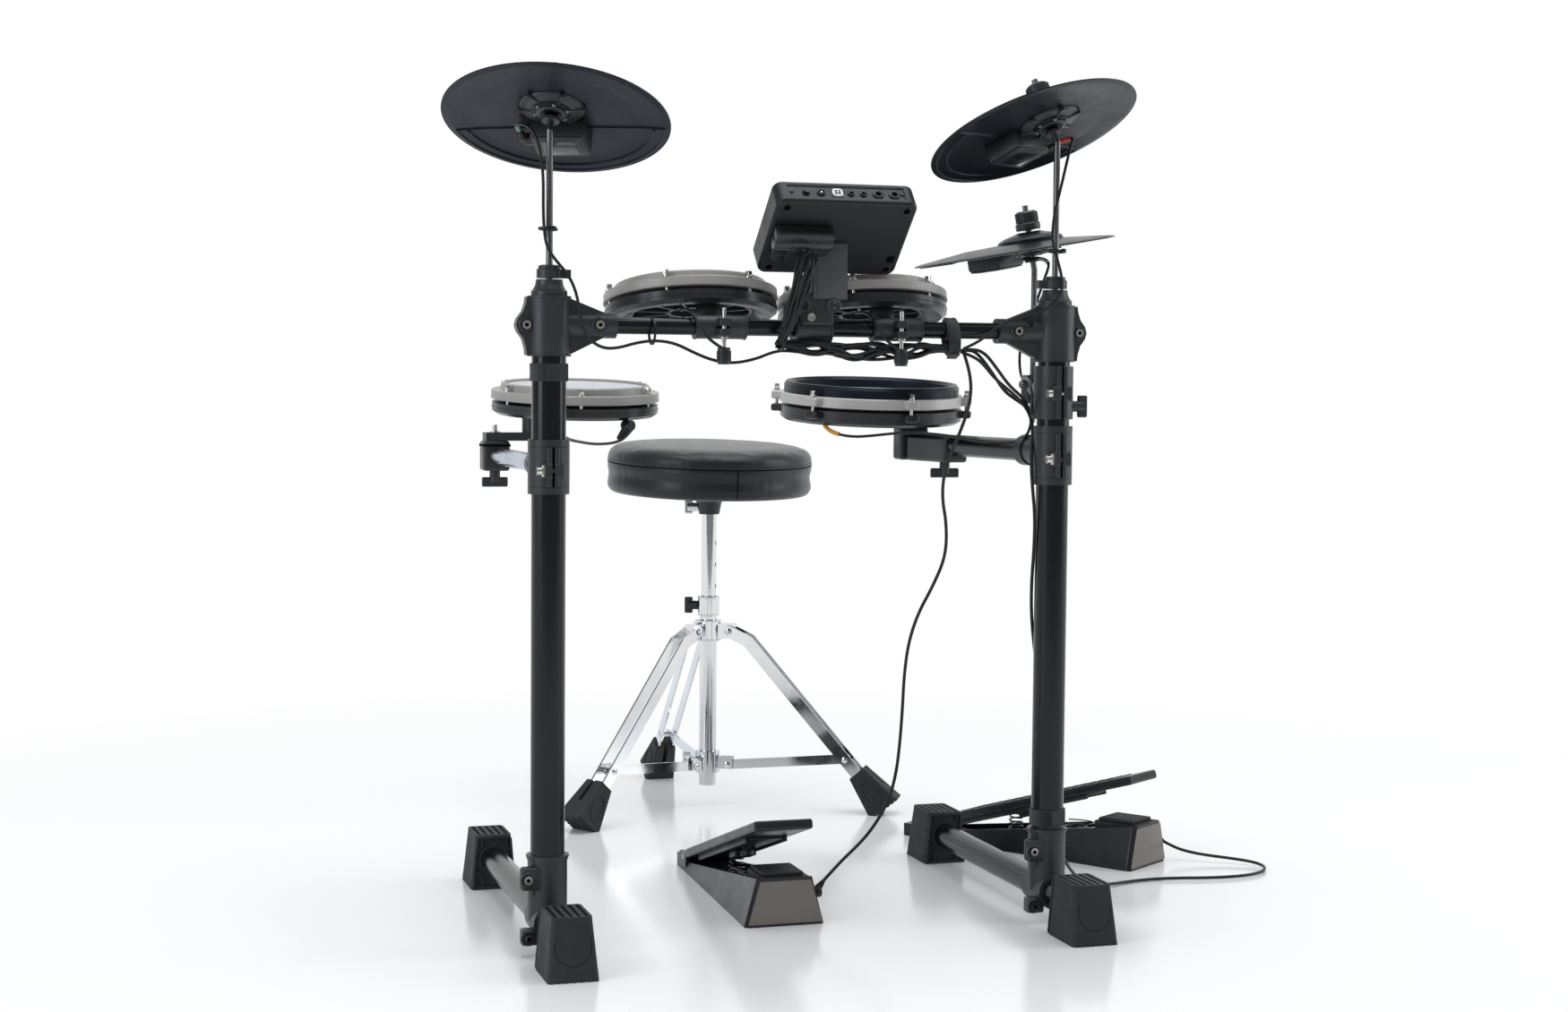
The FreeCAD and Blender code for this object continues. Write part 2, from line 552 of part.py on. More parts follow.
def cymbal_pad(radius):
    """Cymbal pad about its mounting axis; the disc's centre lies MOUNT_OFFSET along local X."""
    disc = turned([(0, -3), (radius - 34, -4.5), (radius - 7, -6.5), (radius, -6), (radius, -4.6),
                   (radius - 6, -3), (radius - 40, 1), (60, 4), (0, 6)])
    disc.translate(Vector(MOUNT_OFFSET, 0, 0))
    bell = turned([(0, 0), (44, 0), (40, 8), (32, 12), (20, 15), (14, 17), (0, 17)])
    boss = turned([(0, 0), (21, 0), (21, -9), (19, -11), (12, -11), (12, -14), (0, -14)])
    hole = cylinder(Vector(0, 0, -30), Vector(0, 0, 30), PAD_HOLE_RADIUS)
    return joined([disc, bell, boss]).cut(hole)


def trigger_box(pad, side):
    """Trigger housing under the pad with its right-angle plug on one side of local Y."""
    box = block((30, 78), (-31, 31), (-23, 0))
    box = box.makeFillet(5.0, box.Edges).cut(pad)
    plug = cylinder(Vector(54, side * 31, -14), Vector(54, side * 48, -14), 6)
    relief = taper(Vector(54, side * 42, -16), Vector(54, side * 42, -38), 5, 2.4)
    return [box, joined([plug, relief])]


def build_cymbals():
    """Three pads on bent rods, each with a seat below and a knurled nut above."""
    rods = []
    nuts = []
    hihat_bend = Vector(HIHAT_ROD_X, HIHAT_ROD_Y, HIHAT_BEND_Z)
    specs = (
        ("ride", RIDE_NORMAL, RIDE_PLAYER, Vector(-POST_X, 0, RIDE_BEND_Z), POST_TOP - 20, 1),
        ("crash", CRASH_NORMAL, CRASH_PLAYER, Vector(POST_X, 0, CRASH_BEND_Z), POST_TOP - 20, -1),
        ("hihat", HIHAT_NORMAL, HIHAT_PLAYER, hihat_bend, HIHAT_ROD_LOW, -1))
    pad = cymbal_pad(CYMBAL_RADIUS)
    for name, normal, player, bend, rod_low, plug_side in specs:
        up = Vector(normal).normalize()
        along = Vector(player) - up * up.dot(player)
        mount = bend + up * ROD_BEND_BELOW
        shapes[name + "_pad"] = [posed(pad, mount, up, along)]
        housing = trigger_box(pad, plug_side)
        shapes[name + "_trigger"] = [posed(piece, mount, up, along) for piece in housing]
        tip = mount + up * 50
        lower = cylinder(Vector(bend.x, bend.y, rod_low), bend, ROD_RADIUS)
        elbow = Part.makeSphere(ROD_RADIUS, bend)
        upper = cylinder(bend, tip, ROD_RADIUS)
        rods.append(joined([lower, elbow, upper]))
        seat = turned([(ROD_RADIUS, -21), (10, -21), (10, -18), (6.4, -15.3), (ROD_RADIUS, -15.3)])
        nut = turned([(ROD_RADIUS, 19), (15, 19), (15.5, 21), (15.5, 27), (13.5, 29), (13.5, 41),
                      (11, 43), (ROD_RADIUS, 43)])
        nuts += [posed(piece, mount, up, along) for piece in (seat, nut)]
    shapes["cymbal_rods"] = rods
    shapes["cymbal_nuts"] = nuts


def drum_pad(name, top, tilt, radius, height, flange, carrier, lugs=0):
    """Drum pad: a shallow shell, a stepped hoop and a head; its carrier is cut where it meets the shell."""
    up = Vector(0, math.sin(math.radians(tilt)), math.cos(math.radians(tilt)))
    along = Vector(1, 0, 0)
    low, high = flange
    wall_top = low - SCREW_GAP
    inner = radius - HOOP_WALL
    neck = inner - SHELL_GAP
    dish = -height + DISH_DEPTH
    head_low = GUARDED_HEAD_LOW if lugs else HEAD_LOW
    shell = turned([(0, dish), (radius - 28, dish), (radius - 18, -height), (radius - 7, -height),
                    (radius - 1, -height + 4), (radius - 1, wall_top), (neck, wall_top + 2),
                    (neck, head_low - 1), (neck - 4, head_low - 1), (neck - 4, dish + 4), (0, dish + 4)])
    step = [(inner, low), (radius, low), (radius, high - 1), (radius - 1, high)]
    if lugs:
        hoop = turned(step + [(inner, high)])
        hoop = joined([hoop] + lug_blocks(lugs, radius - 6, radius + 12, (low + 1, high - 1)))
        shell = joined([shell] + lug_blocks(lugs, radius - 5, radius + 12, (-height + 8, wall_top - 1)))
        guard = turned([(inner, high), (radius - 5, high), (radius - 5, -4), (radius - 8, 0),
                        (inner + 4, 0), (inner, -4)])
        rings = [hoop, guard]
    else:
        rings = [turned(step + [(radius - 10.5, high), (radius - 12, -1.5), (radius - 13.5, 0),
                                (inner + 1, 0), (inner, -1)])]
    head_edge = inner - 0.3
    head = turned([(0, head_low), (head_edge, head_low), (head_edge, head_low + 3.6), (0, head_low + 4.4)])
    shell_posed = posed(shell, top, up, along)
    shapes[name + "_hoop"] = [posed(ring, top, up, along) for ring in rings]
    shapes[name + "_head"] = [posed(head, top, up, along)]
    shapes[name + "_shell"] = [shell_posed]
    above = posed(block((-200, 200), (-200, 200), (dish, 80)), top, up, along)
    return carrier.cut([above, shell_posed])


def lug_blocks(count, inner, outer, z_span):
    """Blocks evenly spaced round a hoop or shell, for the tension screws."""
    lug = block((inner, outer), (-9, 9), z_span)
    lug = lug.makeFillet(3.0, lug.Edges)
    turns = [360 / count * step + SNARE_LUG_TURN for step in range(count)]
    return [turned_about_z(lug, turn, Vector(0, 0, 0)) for turn in turns]


def build_toms():
    """Two rack toms with their crossbar clamps, the floor tom and the snare on their arms."""
    for name, top, clamp_x in (("tom1", TOM1_TOP, TOM1_CLAMP_X), ("tom2", TOM2_TOP, TOM2_CLAMP_X)):
        on_bar = Vector(clamp_x, 0, CROSSBAR_Z)
        half = Vector(TOM_SLEEVE_HALF, 0, 0)
        sleeve = cylinder(on_bar - half, on_bar + half, TOM_SLEEVE_RADIUS)
        jaws = rounded_block((clamp_x - 6.5, clamp_x + 6.5), (TOM_SCREW_Y - 7, 0),
                             (CROSSBAR_Z - 11, CROSSBAR_Z + 10), 2.0)
        slot = block((clamp_x - 8, clamp_x + 8), (TOM_SCREW_Y - 8, -CROSSBAR_RADIUS),
                     (CROSSBAR_Z - 2.5, CROSSBAR_Z + 1))
        reach = block((clamp_x - 12, clamp_x + 12), (8, 62), (CROSSBAR_Z - 8, CROSSBAR_Z + 9))
        neck = cylinder(Vector(clamp_x, 48, CROSSBAR_Z), Vector(clamp_x, 48, CROSSBAR_Z + 50), 13)
        knob = turned([(0, -42), (6.3, -42), (TOM_KNOB_RADIUS, -41), (TOM_KNOB_RADIUS, -24), (6.3, -23),
                       (2.4, -23), (2.4, 20), (0, 20)])
        knob = knob.translated(on_bar + Vector(0, TOM_SCREW_Y, 0))
        bar = cylinder(on_bar - half * 2, on_bar + half * 2, CROSSBAR_RADIUS + RUNNING_GAP)
        carrier = joined([sleeve, jaws, reach, neck]).cut([bar, slot, knob])
        carrier = drum_pad(name, top, TOM_TILT, TOM_RADIUS, PAD_HEIGHT, TOM_FLANGE, carrier)
        shapes[name + "_clamp"] = [carrier, knob]
    build_arm("floor_arm", -POST_X, FLOOR_CLAMP_SPAN, FLOOR_ARM_END, FLOOR_ARM_RADIUS)
    build_arm("snare_arm", POST_X, SNARE_CLAMP_SPAN, SNARE_ARM_END, SNARE_ARM_RADIUS, SNARE_CRADLE)
    ledge = arm_ledge(FLOOR_ARM_END, FLOOR_REACH, FLOOR_ARM_RADIUS + JAW_WALL)
    carrier = drum_pad("floor_tom", FLOOR_TOM_TOP, FLOOR_TILT, FLOOR_TOM_RADIUS, PAD_HEIGHT, TOM_FLANGE,
                       ledge)
    shapes["floor_arm"].append(carrier)
    ledge = arm_ledge(SNARE_ARM_END, SNARE_REACH, SNARE_ARM_RADIUS + JAW_WALL)
    carrier = drum_pad("snare", SNARE_TOP, FLOOR_TILT, SNARE_RADIUS, SNARE_HEIGHT, SNARE_FLANGE, ledge,
                       SNARE_LUGS)
    shapes["snare_arm"].append(carrier)


def arm_ledge(end, reach, rise):
    """Ledge on an arm's jaw with the short post that carries a drum pad; the pad cuts the post to length."""
    base_z = end.z + rise
    x_low = min(end.x, end.x + reach) - 13
    x_high = max(end.x, end.x + reach) + 13
    ledge = block((x_low, x_high), (end.y - 13, end.y + 13), (base_z, base_z + 10))
    foot = Vector(end.x + reach, end.y, base_z)
    return joined([ledge, cylinder(foot, foot + Vector(0, 0, 60), 12)])


def build_module():
    """Sound module on its bracket, with a control knob and a power button."""
    tilt = math.radians(MODULE_TILT)
    normal = Vector(0, math.sin(tilt), math.cos(tilt))
    across = Vector(1, 0, 0)

    def local(shape):
        return posed(shape, MODULE_EDGE, normal, across)

    half = MODULE_WIDTH / 2
    case = block((-half, half), (0, MODULE_LENGTH), (0, MODULE_THICK))
    corners = [e for e in case.Edges if abs(e.Vertexes[0].Z - e.Vertexes[1].Z) > 1]
    case = case.makeFillet(MODULE_CORNER, corners)
    case = case.makeFillet(4.0, [e for e in case.Edges if abs(e.Vertexes[0].Z - e.Vertexes[1].Z) < 1])
    panel_recess = block((-half + 14, half - 14), (-1, 1.2), (7, MODULE_THICK - 6))
    button_hole = cylinder(Vector(BUTTON_X, -1, 16), Vector(BUTTON_X, 7, 16), 4.05)
    spindle_hole = cylinder(Vector(40, 38, MODULE_THICK - 8), Vector(40, 38, MODULE_THICK + 1), 3.05)
    knob = turned([(0, 0.4), (13, 0.4), (13, 11), (11.5, 13), (0, 13)])
    knob = knob.translated(Vector(40, 38, MODULE_THICK))
    spindle = cylinder(Vector(40, 38, MODULE_THICK - 7.5), Vector(40, 38, MODULE_THICK + 2), 3.0)
    button = cylinder(Vector(BUTTON_X, -2.2, 16), Vector(BUTTON_X, 5, 16), 4.0)
    connector = rounded_block((-76, -12), (36, 72), (-15, 0), 3.0)
    shapes["module_case"] = [local(case.cut([panel_recess, button_hole, spindle_hole])), local(connector)]
    shapes["module_knob"] = [local(joined([knob, spindle]))]
    shapes["module_button"] = [local(button)]
    plate = block(BRACKET_X, BRACKET_Y, BRACKET_Z)
    neck = rounded_block((-18, 20), (BRACKET_Y[0], -8), (699, BRACKET_Z[0] + 8), 3.0)
    grip_start, grip_end = [Vector(x, 0, CROSSBAR_Z) for x in GRIP_X]
    grip = cylinder(grip_start, grip_end, GRIP_RADIUS)
    bar = cylinder(grip_start - across * 9, grip_end + across * 9, CROSSBAR_RADIUS + RUNNING_GAP)
    spec = (GRIP_BOLT, Vector(0, -1, 0), 8)
    over_case = local(block((-200, 200), (-60, 200), (0, 200)))
    bracket = joined([plate, neck, grip]).cut([bar, over_case, drill(*spec), local(connector)])
    shapes["module_bracket"] = [bracket, bolt(*spec)]


def build_pedal(name, front, degrees):
    """Pedal: a wedge base, a hinged footboard and a rubber stop; the heel lies along local +Y."""

    def local(shape):
        return turned_about_z(shape, degrees, front)

    wires = []
    for y, width, top_width, height in (
            (0, PEDAL_FRONT_WIDTH, PEDAL_FRONT_TOP, PEDAL_HEIGHT),
            (PEDAL_LENGTH, PEDAL_HEEL_WIDTH, PEDAL_HEEL_WIDTH - 8, PEDAL_HEEL_HEIGHT)):
        points = [Vector(-width / 2, y, 0), Vector(width / 2, y, 0), Vector(top_width / 2, y, height),
                  Vector(-top_width / 2, y, height)]
        wires.append(Part.makePolygon(points + [points[0]]))
    base = Part.makeLoft(wires, True, True)
    front_edges = [e for e in base.Edges if max(v.Y for v in e.Vertexes) < 1]
    upright = [e for e in front_edges if abs(e.Vertexes[0].Z - e.Vertexes[1].Z) > 10]
    base = base.makeFillet(7.0, upright)
    half = BOARD_WIDTH / 2 - 2
    ear_span = (2, PEDAL_PIN_Z + 6)
    ears = [block((x, x + 6), (PEDAL_PIN_Y - 15, PEDAL_PIN_Y + 15), ear_span) for x in (-half, half - 6)]
    heel = block((-half, half), (PEDAL_PIN_Y + 13, PEDAL_LENGTH), (2, PEDAL_PIN_Z + 1))
    well = block((-half + 6.5, half - 6.5), (70, PEDAL_PIN_Y + 13), (8, 80))
    pin_start = Vector(-half, PEDAL_PIN_Y, PEDAL_PIN_Z)
    pin = cylinder(pin_start, pin_start + Vector(2 * half, 0, 0), PIN_RADIUS)
    base = joined([base, heel] + ears).cut([well, pin])
    shapes[name + "_base"] = [local(base)]
    cushion_plate = block((-27, 29), (3, 66), (PEDAL_HEIGHT - 10, PEDAL_HEIGHT)).cut(base)
    cushion = block((-25, 25), (10, 62), (PEDAL_HEIGHT, PEDAL_HEIGHT + 4.5))
    cushion = cushion.makeFillet(2.0, cushion.Edges)
    shapes.setdefault("pedal_cushions", []).extend([local(cushion_plate), local(cushion)])
    rise = math.atan2(BOARD_TOE_Z - PEDAL_PIN_Z, PEDAL_PIN_Y - BOARD_TOE_Y)
    board_length = (PEDAL_PIN_Y - BOARD_TOE_Y) / math.cos(rise)
    board = block((-BOARD_WIDTH / 2, BOARD_WIDTH / 2), (20, board_length), BOARD_SPAN)
    board = board.makeFillet(3.5, board.Edges)
    barrel = cylinder(Vector(-27, 0, 0), Vector(27, 0, 0), PEDAL_KNUCKLE_RADIUS)
    knuckle = joined([barrel, block((-27, 27), (0, 60), (BOARD_SPAN[0], BOARD_SPAN[1] - 2))])
    knuckle = knuckle.cut(cylinder(Vector(-40, 0, 0), Vector(40, 0, 0), PIN_RADIUS + RUNNING_GAP))
    board = joined([board, knuckle])
    lean = Vector(0, math.sin(rise), math.cos(rise))
    board = posed(board, Vector(0, PEDAL_PIN_Y, PEDAL_PIN_Z), lean, Vector(-1, 0, 0))
    shapes[name + "_footboard"] = [local(board)]
    return local(pin)


def throne_local(shape, degrees):
    """Copy of a shape turned to a leg's angle and moved to the throne."""
    return turned_about_z(shape, degrees, THRONE_CENTRE)


def build_throne():
    """Round stool on a folding tripod."""
    shapes["throne_cushion"] = [throne_local(seat_cushion(), 0)]
    socket = turned([(0, 437), (15, 437), (16, 442), (18, 453), (22, 459), (58, SEAT_LOW - 5),
                     (60, SEAT_LOW - 3), (60, SEAT_LOW), (0, SEAT_LOW)])
    hole_top = Vector(0, 0, THRONE_POST_TOP + 0.3)
    post_hole = cylinder(Vector(0, 0, 436), hole_top, THRONE_POST_RADIUS + RUNNING_GAP)
    seat_screw = wing_screw(Vector(-17, 0, 447), Vector(-1, 0, 0), 4, 20)
    socket = socket.cut([post_hole, seat_screw])
    shapes["throne_socket"] = [throne_local(piece, -25) for piece in (socket, seat_screw)]
    post = cylinder(Vector(0, 0, THRONE_POST_LOW), Vector(0, 0, THRONE_POST_TOP), THRONE_POST_RADIUS)
    holes = [cylinder(Vector(2, 0, z), Vector(20, 0, z), 4) for z in (330, 362, 394)]
    shapes["throne_post"] = [throne_local(post.cut(holes), -25)]
    tube = cylinder(Vector(0, 0, TUBE_LOW), Vector(0, 0, TUBE_TOP), TUBE_RADIUS)
    key_collar = cylinder(Vector(0, 0, 288), Vector(0, 0, 314), 16)
    leg_collar = cylinder(Vector(0, 0, 250), Vector(0, 0, 279), 19)
    lugs = []
    for degrees in leg_angles():
        lug = block((14, 41), (-LEG_BAR_GAP + 0.5, LEG_BAR_GAP - 0.5), (253, 275))
        pin = pivot_pin(LEG_PIVOT_R, LEG_PIVOT_Z, 15, PIN_RADIUS)
        lugs.append(turned_about_z(joined([lug, pin]), degrees, Vector(0, 0, 0)))
    bore = cylinder(Vector(0, 0, TUBE_LOW + 6), Vector(0, 0, 320), THRONE_POST_RADIUS + RUNNING_GAP)
    height_key = wing_screw(Vector(-16, 0, 301), Vector(-1, 0, 0), 4, 24)
    body = joined([tube, key_collar, leg_collar] + lugs).cut(bore)
    height_key = turned_about_z(height_key, -25, Vector(0, 0, 0))
    shapes["throne_tube"] = [throne_local(body.cut(height_key), 0), throne_local(height_key, 0)]
    ring = cylinder(Vector(0, 0, 52), Vector(0, 0, 84), 18)
    ears = []
    for degrees in leg_angles():
        pair = [block((12, 39), span, (58, 76)) for span in ((-6, -2.2), (2.2, 6))]
        root = block((12, 20), (-6, 6), (58, 76))
        pin = pivot_pin(STRUT_INNER_R, STRUT_INNER_Z, 7, PIN_RADIUS)
        ears.append(turned_about_z(joined(pair + [pin, root]), degrees, Vector(0, 0, 0)))
    tube_hole = cylinder(Vector(0, 0, 40), Vector(0, 0, 100), TUBE_RADIUS + RUNNING_GAP)
    slide_screw = wing_screw(Vector(18, 0, 68), Vector(1, 0, 0), 4, 26)
    slide_screw = turned_about_z(slide_screw, FIRST_LEG_ANGLE + 60, Vector(0, 0, 0))
    slider = joined([ring] + ears).cut([tube_hole, slide_screw])
    shapes["throne_slider"] = [throne_local(slider, 0), throne_local(slide_screw, 0)]
    for number, degrees in enumerate(leg_angles(), 1):
        shapes["throne_leg_%d" % number] = [throne_local(piece, degrees) for piece in throne_leg()]
        strut = link((STRUT_INNER_R, STRUT_INNER_Z), (STRUT_OUTER_R, STRUT_OUTER_Z), 14, -1.6, 1.6)
        hole = pivot_pin(STRUT_INNER_R, STRUT_INNER_Z, 9, PIN_RADIUS + RUNNING_GAP)
        shapes["throne_strut_%d" % number] = [throne_local(strut.cut(hole), degrees)]


def pivot_pin(reach, height, half_length, radius):
    """Pin along local Y at a radius and height in the plane of a leg."""
    return cylinder(Vector(reach, -half_length, height), Vector(reach, half_length, height), radius)


def leg_angles():
    """Directions of the three legs, in degrees."""
    return [FIRST_LEG_ANGLE + 120 * step for step in range(3)]


def seat_cushion():
    """Crowned round cushion with a drawn-in side band and a welted top seam."""
    outline = [(0, SEAT_LOW), (SEAT_RADIUS - 14, SEAT_LOW), (SEAT_RADIUS - 3, SEAT_LOW + 8),
               (SEAT_RADIUS - 6, SEAT_LOW + 26), (SEAT_RADIUS - 2, SEAT_LOW + 44),
               (SEAT_RADIUS, SEAT_LOW + 50), (SEAT_RADIUS - 9, SEAT_TOP - 11), (0, SEAT_TOP)]
    points = [Vector(radius, 0, height) for radius, height in outline]
    rim, drop = points[6].x, SEAT_TOP - points[6].z
    crown_radius = (rim ** 2 + drop ** 2) / (2 * drop)
    crown_mid = Vector(rim / 2, 0, SEAT_TOP - crown_radius + math.sqrt(crown_radius ** 2 - rim ** 2 / 4))
    edges = [
        Part.LineSegment(points[0], points[1]).toShape(),
        Part.LineSegment(points[1], points[2]).toShape(),
        Part.Arc(points[2], points[3], points[4]).toShape(),
        Part.LineSegment(points[4], points[5]).toShape(),
        Part.Arc(points[5], Vector(SEAT_RADIUS - 2.5, 0, SEAT_LOW + 57), points[6]).toShape(),
        Part.Arc(points[6], crown_mid, points[7]).toShape(),
        Part.LineSegment(points[7], points[0]).toShape()]
    return Part.Face(Part.Wire(edges)).revolve(Vector(0, 0, 0), Vector(0, 0, 1), 360)


def throne_leg():
    """Two bent flat bars, their rivets and the rubber foot, in the plane of the leg."""
    top = (LEG_PIVOT_R, LEG_PIVOT_Z)
    bend = (LEG_BEND_R, LEG_BEND_Z)
    toe = (LEG_FOOT_R - 10, LEG_FOOT_Z + 12)
    pivot_hole = pivot_pin(LEG_PIVOT_R, LEG_PIVOT_Z, 30, PIN_RADIUS + RUNNING_GAP)
    bars = []
    for low in (-LEG_BAR_GAP - LEG_BAR_THICK, LEG_BAR_GAP):
        high = low + LEG_BAR_THICK
        bar = joined([link(top, bend, LEG_BAR_WIDTH, low, high), link(bend, toe, LEG_BAR_WIDTH, low, high)])
        inner = low + LEG_BAR_THICK if low < 0 else low
        rivet_end = -2.4 if low < 0 else 2.4
        rivet_start = Vector(STRUT_OUTER_R, inner, STRUT_OUTER_Z)
        rivet = cylinder(rivet_start, Vector(STRUT_OUTER_R, rivet_end, STRUT_OUTER_Z), 4)
        bars.append(joined([bar, rivet]).cut(pivot_hole))
    down_leg = Vector(toe[0] - bend[0], 0, toe[1] - bend[1]).normalize()
    across_leg = Vector(-down_leg.z, 0, down_leg.x)
    wires = []
    for reach, height, half_across, half_wide in ((LEG_FOOT_R - 31, LEG_FOOT_Z + 38, 14, 16),
                                                  (LEG_FOOT_R + 10, LEG_FOOT_Z - 12, 25, 23)):
        middle = Vector(reach, 0, height)
        corners = [middle + across_leg * (a * half_across) + Vector(0, b * half_wide, 0)
                   for a, b in ((-1, -1), (1, -1), (1, 1), (-1, 1))]
        wires.append(Part.makePolygon(corners + [corners[0]]))
    foot = Part.makeLoft(wires, True, True)
    foot = foot.makeFillet(4.0, [e for e in foot.Edges if e.Length > 55])
    strut_slot = link((STRUT_OUTER_R, STRUT_OUTER_Z), (LEG_FOOT_R - 16, LEG_FOOT_Z + 19), 48, -3, 3)
    foot = foot.cut([block((0, 400), (-40, 40), (-60, 0)), strut_slot] + bars)
    return bars + [foot]


def build_leads():
    """Leads that the rack holds, the two free pedal leads with their plugs, straps and ties."""
    held = [cord(route, LEAD_DIAMETER) for route in HELD_ROUTES]
    held.append(cord(HARNESS_ROUTE, 3 * LEAD_DIAMETER))
    held.append(cord(BUNDLE_ROUTE, 2.5 * LEAD_DIAMETER))
    for clamp_x in (TOM1_CLAMP_X, TOM2_CLAMP_X):
        held.append(cord([(clamp_x + x, y, CROSSBAR_Z + z) for x, y, z in TOM_LOOP_STEPS], LEAD_DIAMETER))
    shapes["pad_leads"] = held
    shapes["kick_lead"] = [cord(KICK_ROUTE, LEAD_DIAMETER)]
    shapes["hihat_lead"] = [cord(HIHAT_ROUTE, LEAD_DIAMETER)]
    shapes["lead_plugs"] = [
        pedal_plug(KICK_ROUTE, KICK_FRONT, KICK_TURN).cut(shapes["kick_base"] + shapes["kick_lead"]),
        pedal_plug(HIHAT_ROUTE, HIHAT_FRONT, HIHAT_TURN).cut(shapes["hihat_base"] + shapes["hihat_lead"])]
    straps = []
    for x, z in STRAPS:
        top = Vector(x, 0, z + STRAP_WIDTH)
        straps.append(cylinder(Vector(x, 0, z), top, POST_RADIUS + STRAP_THICK, POST_RADIUS))
    start, end = [Vector(x, 0, CROSSBAR_Z) for x in CROSSBAR_STRAP]
    straps.append(cylinder(start, end, CROSSBAR_RADIUS + STRAP_THICK, CROSSBAR_RADIUS))
    shapes["cable_straps"] = straps


def pedal_plug(route, front, degrees):
    """Right-angle plug against a pedal's side, with a relief towards the end of its lead."""
    across = Vector(1, 0, 0)
    barrel = cylinder(PLUG_LOCAL - across * 11, PLUG_LOCAL + across * 7, PLUG_RADIUS)
    barrel = turned_about_z(barrel, degrees, front)
    middle = turned_about_z(Part.Vertex(PLUG_LOCAL), degrees, front).Point
    relief = taper(Vector(*route[-1]), middle, 2.4, 5.0)
    return joined([barrel, relief])


def main():
    bolts = build_rack()
    bolts += build_post_clamps()
    build_cymbals()
    build_toms()
    build_module()
    bolts.append(build_pedal("kick", KICK_FRONT, KICK_TURN))
    bolts.append(build_pedal("hihat", HIHAT_FRONT, HIHAT_TURN))
    shapes["rack_bolts"] = bolts
    build_throne()
    build_leads()
    free_leads = ("kick_lead", "hihat_lead", "lead_plugs")
    fixed = [group for name, group in shapes.items() if name not in free_leads]
    extent = Part.makeCompound([solid for group in fixed for solid in group]).optimalBoundingBox(False)
    shift = Vector(-(extent.XMin + extent.XMax) / 2, -(extent.YMin + extent.YMax) / 2, -extent.ZMin)
    print("origin shift", shift, "size", extent.XLength, extent.YLength, extent.ZLength)
    os.makedirs("parts", exist_ok=True)
    for name, group in shapes.items():
        whole = group[0] if len(group) == 1 else Part.makeCompound(group)
        whole = whole.translated(shift)
        bad = [not s.isValid() for s in group]
        if any(bad) or len(whole.Solids) != len(group):
            print("look at", name, bad, len(whole.Solids))
        whole.exportStep("parts/%s.step" % name)
    print(len(shapes), "nodes")


main()
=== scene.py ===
# %% [markdown]
# # Electronic drum kit
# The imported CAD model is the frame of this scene: every solid, size and joint comes from it. Here the frame
# is lit, photographed and dressed: finishes for the solids, and the small pieces that CAD leaves out, such as
# tension screws, jack sockets, cable strands, springs and the upholstered seat.

# %% Load the frame
import math
import random

import bmesh
import bpy
from mathutils import Matrix, Vector
from mathutils.bvhtree import BVHTree


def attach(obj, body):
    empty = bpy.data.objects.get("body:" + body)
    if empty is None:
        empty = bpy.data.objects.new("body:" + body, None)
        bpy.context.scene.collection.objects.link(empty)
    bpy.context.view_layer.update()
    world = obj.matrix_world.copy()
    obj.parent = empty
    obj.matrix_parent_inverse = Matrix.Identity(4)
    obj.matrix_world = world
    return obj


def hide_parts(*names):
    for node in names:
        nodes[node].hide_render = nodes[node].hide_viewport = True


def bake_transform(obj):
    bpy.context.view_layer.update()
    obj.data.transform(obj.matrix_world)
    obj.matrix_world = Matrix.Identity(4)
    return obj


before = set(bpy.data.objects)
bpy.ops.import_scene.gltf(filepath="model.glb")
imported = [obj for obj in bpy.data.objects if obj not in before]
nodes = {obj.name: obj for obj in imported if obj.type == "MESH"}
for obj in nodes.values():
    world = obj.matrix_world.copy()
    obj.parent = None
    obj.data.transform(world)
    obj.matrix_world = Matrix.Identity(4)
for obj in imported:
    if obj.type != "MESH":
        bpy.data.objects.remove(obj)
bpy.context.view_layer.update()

# %% [markdown]
# ## Millimetres and the rack's own corner
# The rack is easiest to think about in millimetres from the floor point midway between its posts. The packed
# frame is in metres with its origin under the middle of the whole kit, so one shift joins the two. A piece
# that leans, such as a cymbal, is drawn flat and then stood in place by a matrix, which keeps its own numbers
# simple.

# %% Row frame helpers
MM = 0.001
RACK_TO_ROW = Vector((-89.0236, -475.7185, 0.0))


def row(x, y, z):
    """A point of the rack's millimetre frame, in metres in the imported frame."""
    return (Vector((x, y, z)) + RACK_TO_ROW) * MM


def stand(origin, up=(0, 0, 1), along=(1, 0, 0)):
    """Matrix that stands a piece drawn in millimetres on a point, with its Z up and its X along."""
    up = Vector(up).normalized()
    along = Vector(along)
    along = (along - up * up.dot(along)).normalized()
    turn = Matrix((along, up.cross(along), up)).transposed().to_4x4()
    return Matrix.Translation(row(*origin)) @ turn @ Matrix.Scale(MM, 4)


RACK = stand((0, 0, 0))
POST_X = 301
BAR_Z = 696
THRONE_SPOT = (107, 806, 0)
THRONE = stand(THRONE_SPOT)

# %% [markdown]
# ## Camera
# Its place was worked out from the posts, which are vertical and of known length, so the camera is written
# as a point, a yaw, a pitch and a slight roll, and the lens as pixels across the 1750 pixel picture.

# %% Camera
PICTURE_WIDTH = 1750
FOCAL_PIXELS = 2606
SENSOR = 36
CAMERA_SPOT = (-821, -2526, 640)
YAW, PITCH, ROLL = math.radians(17.4), math.radians(3.15), math.radians(0.5)

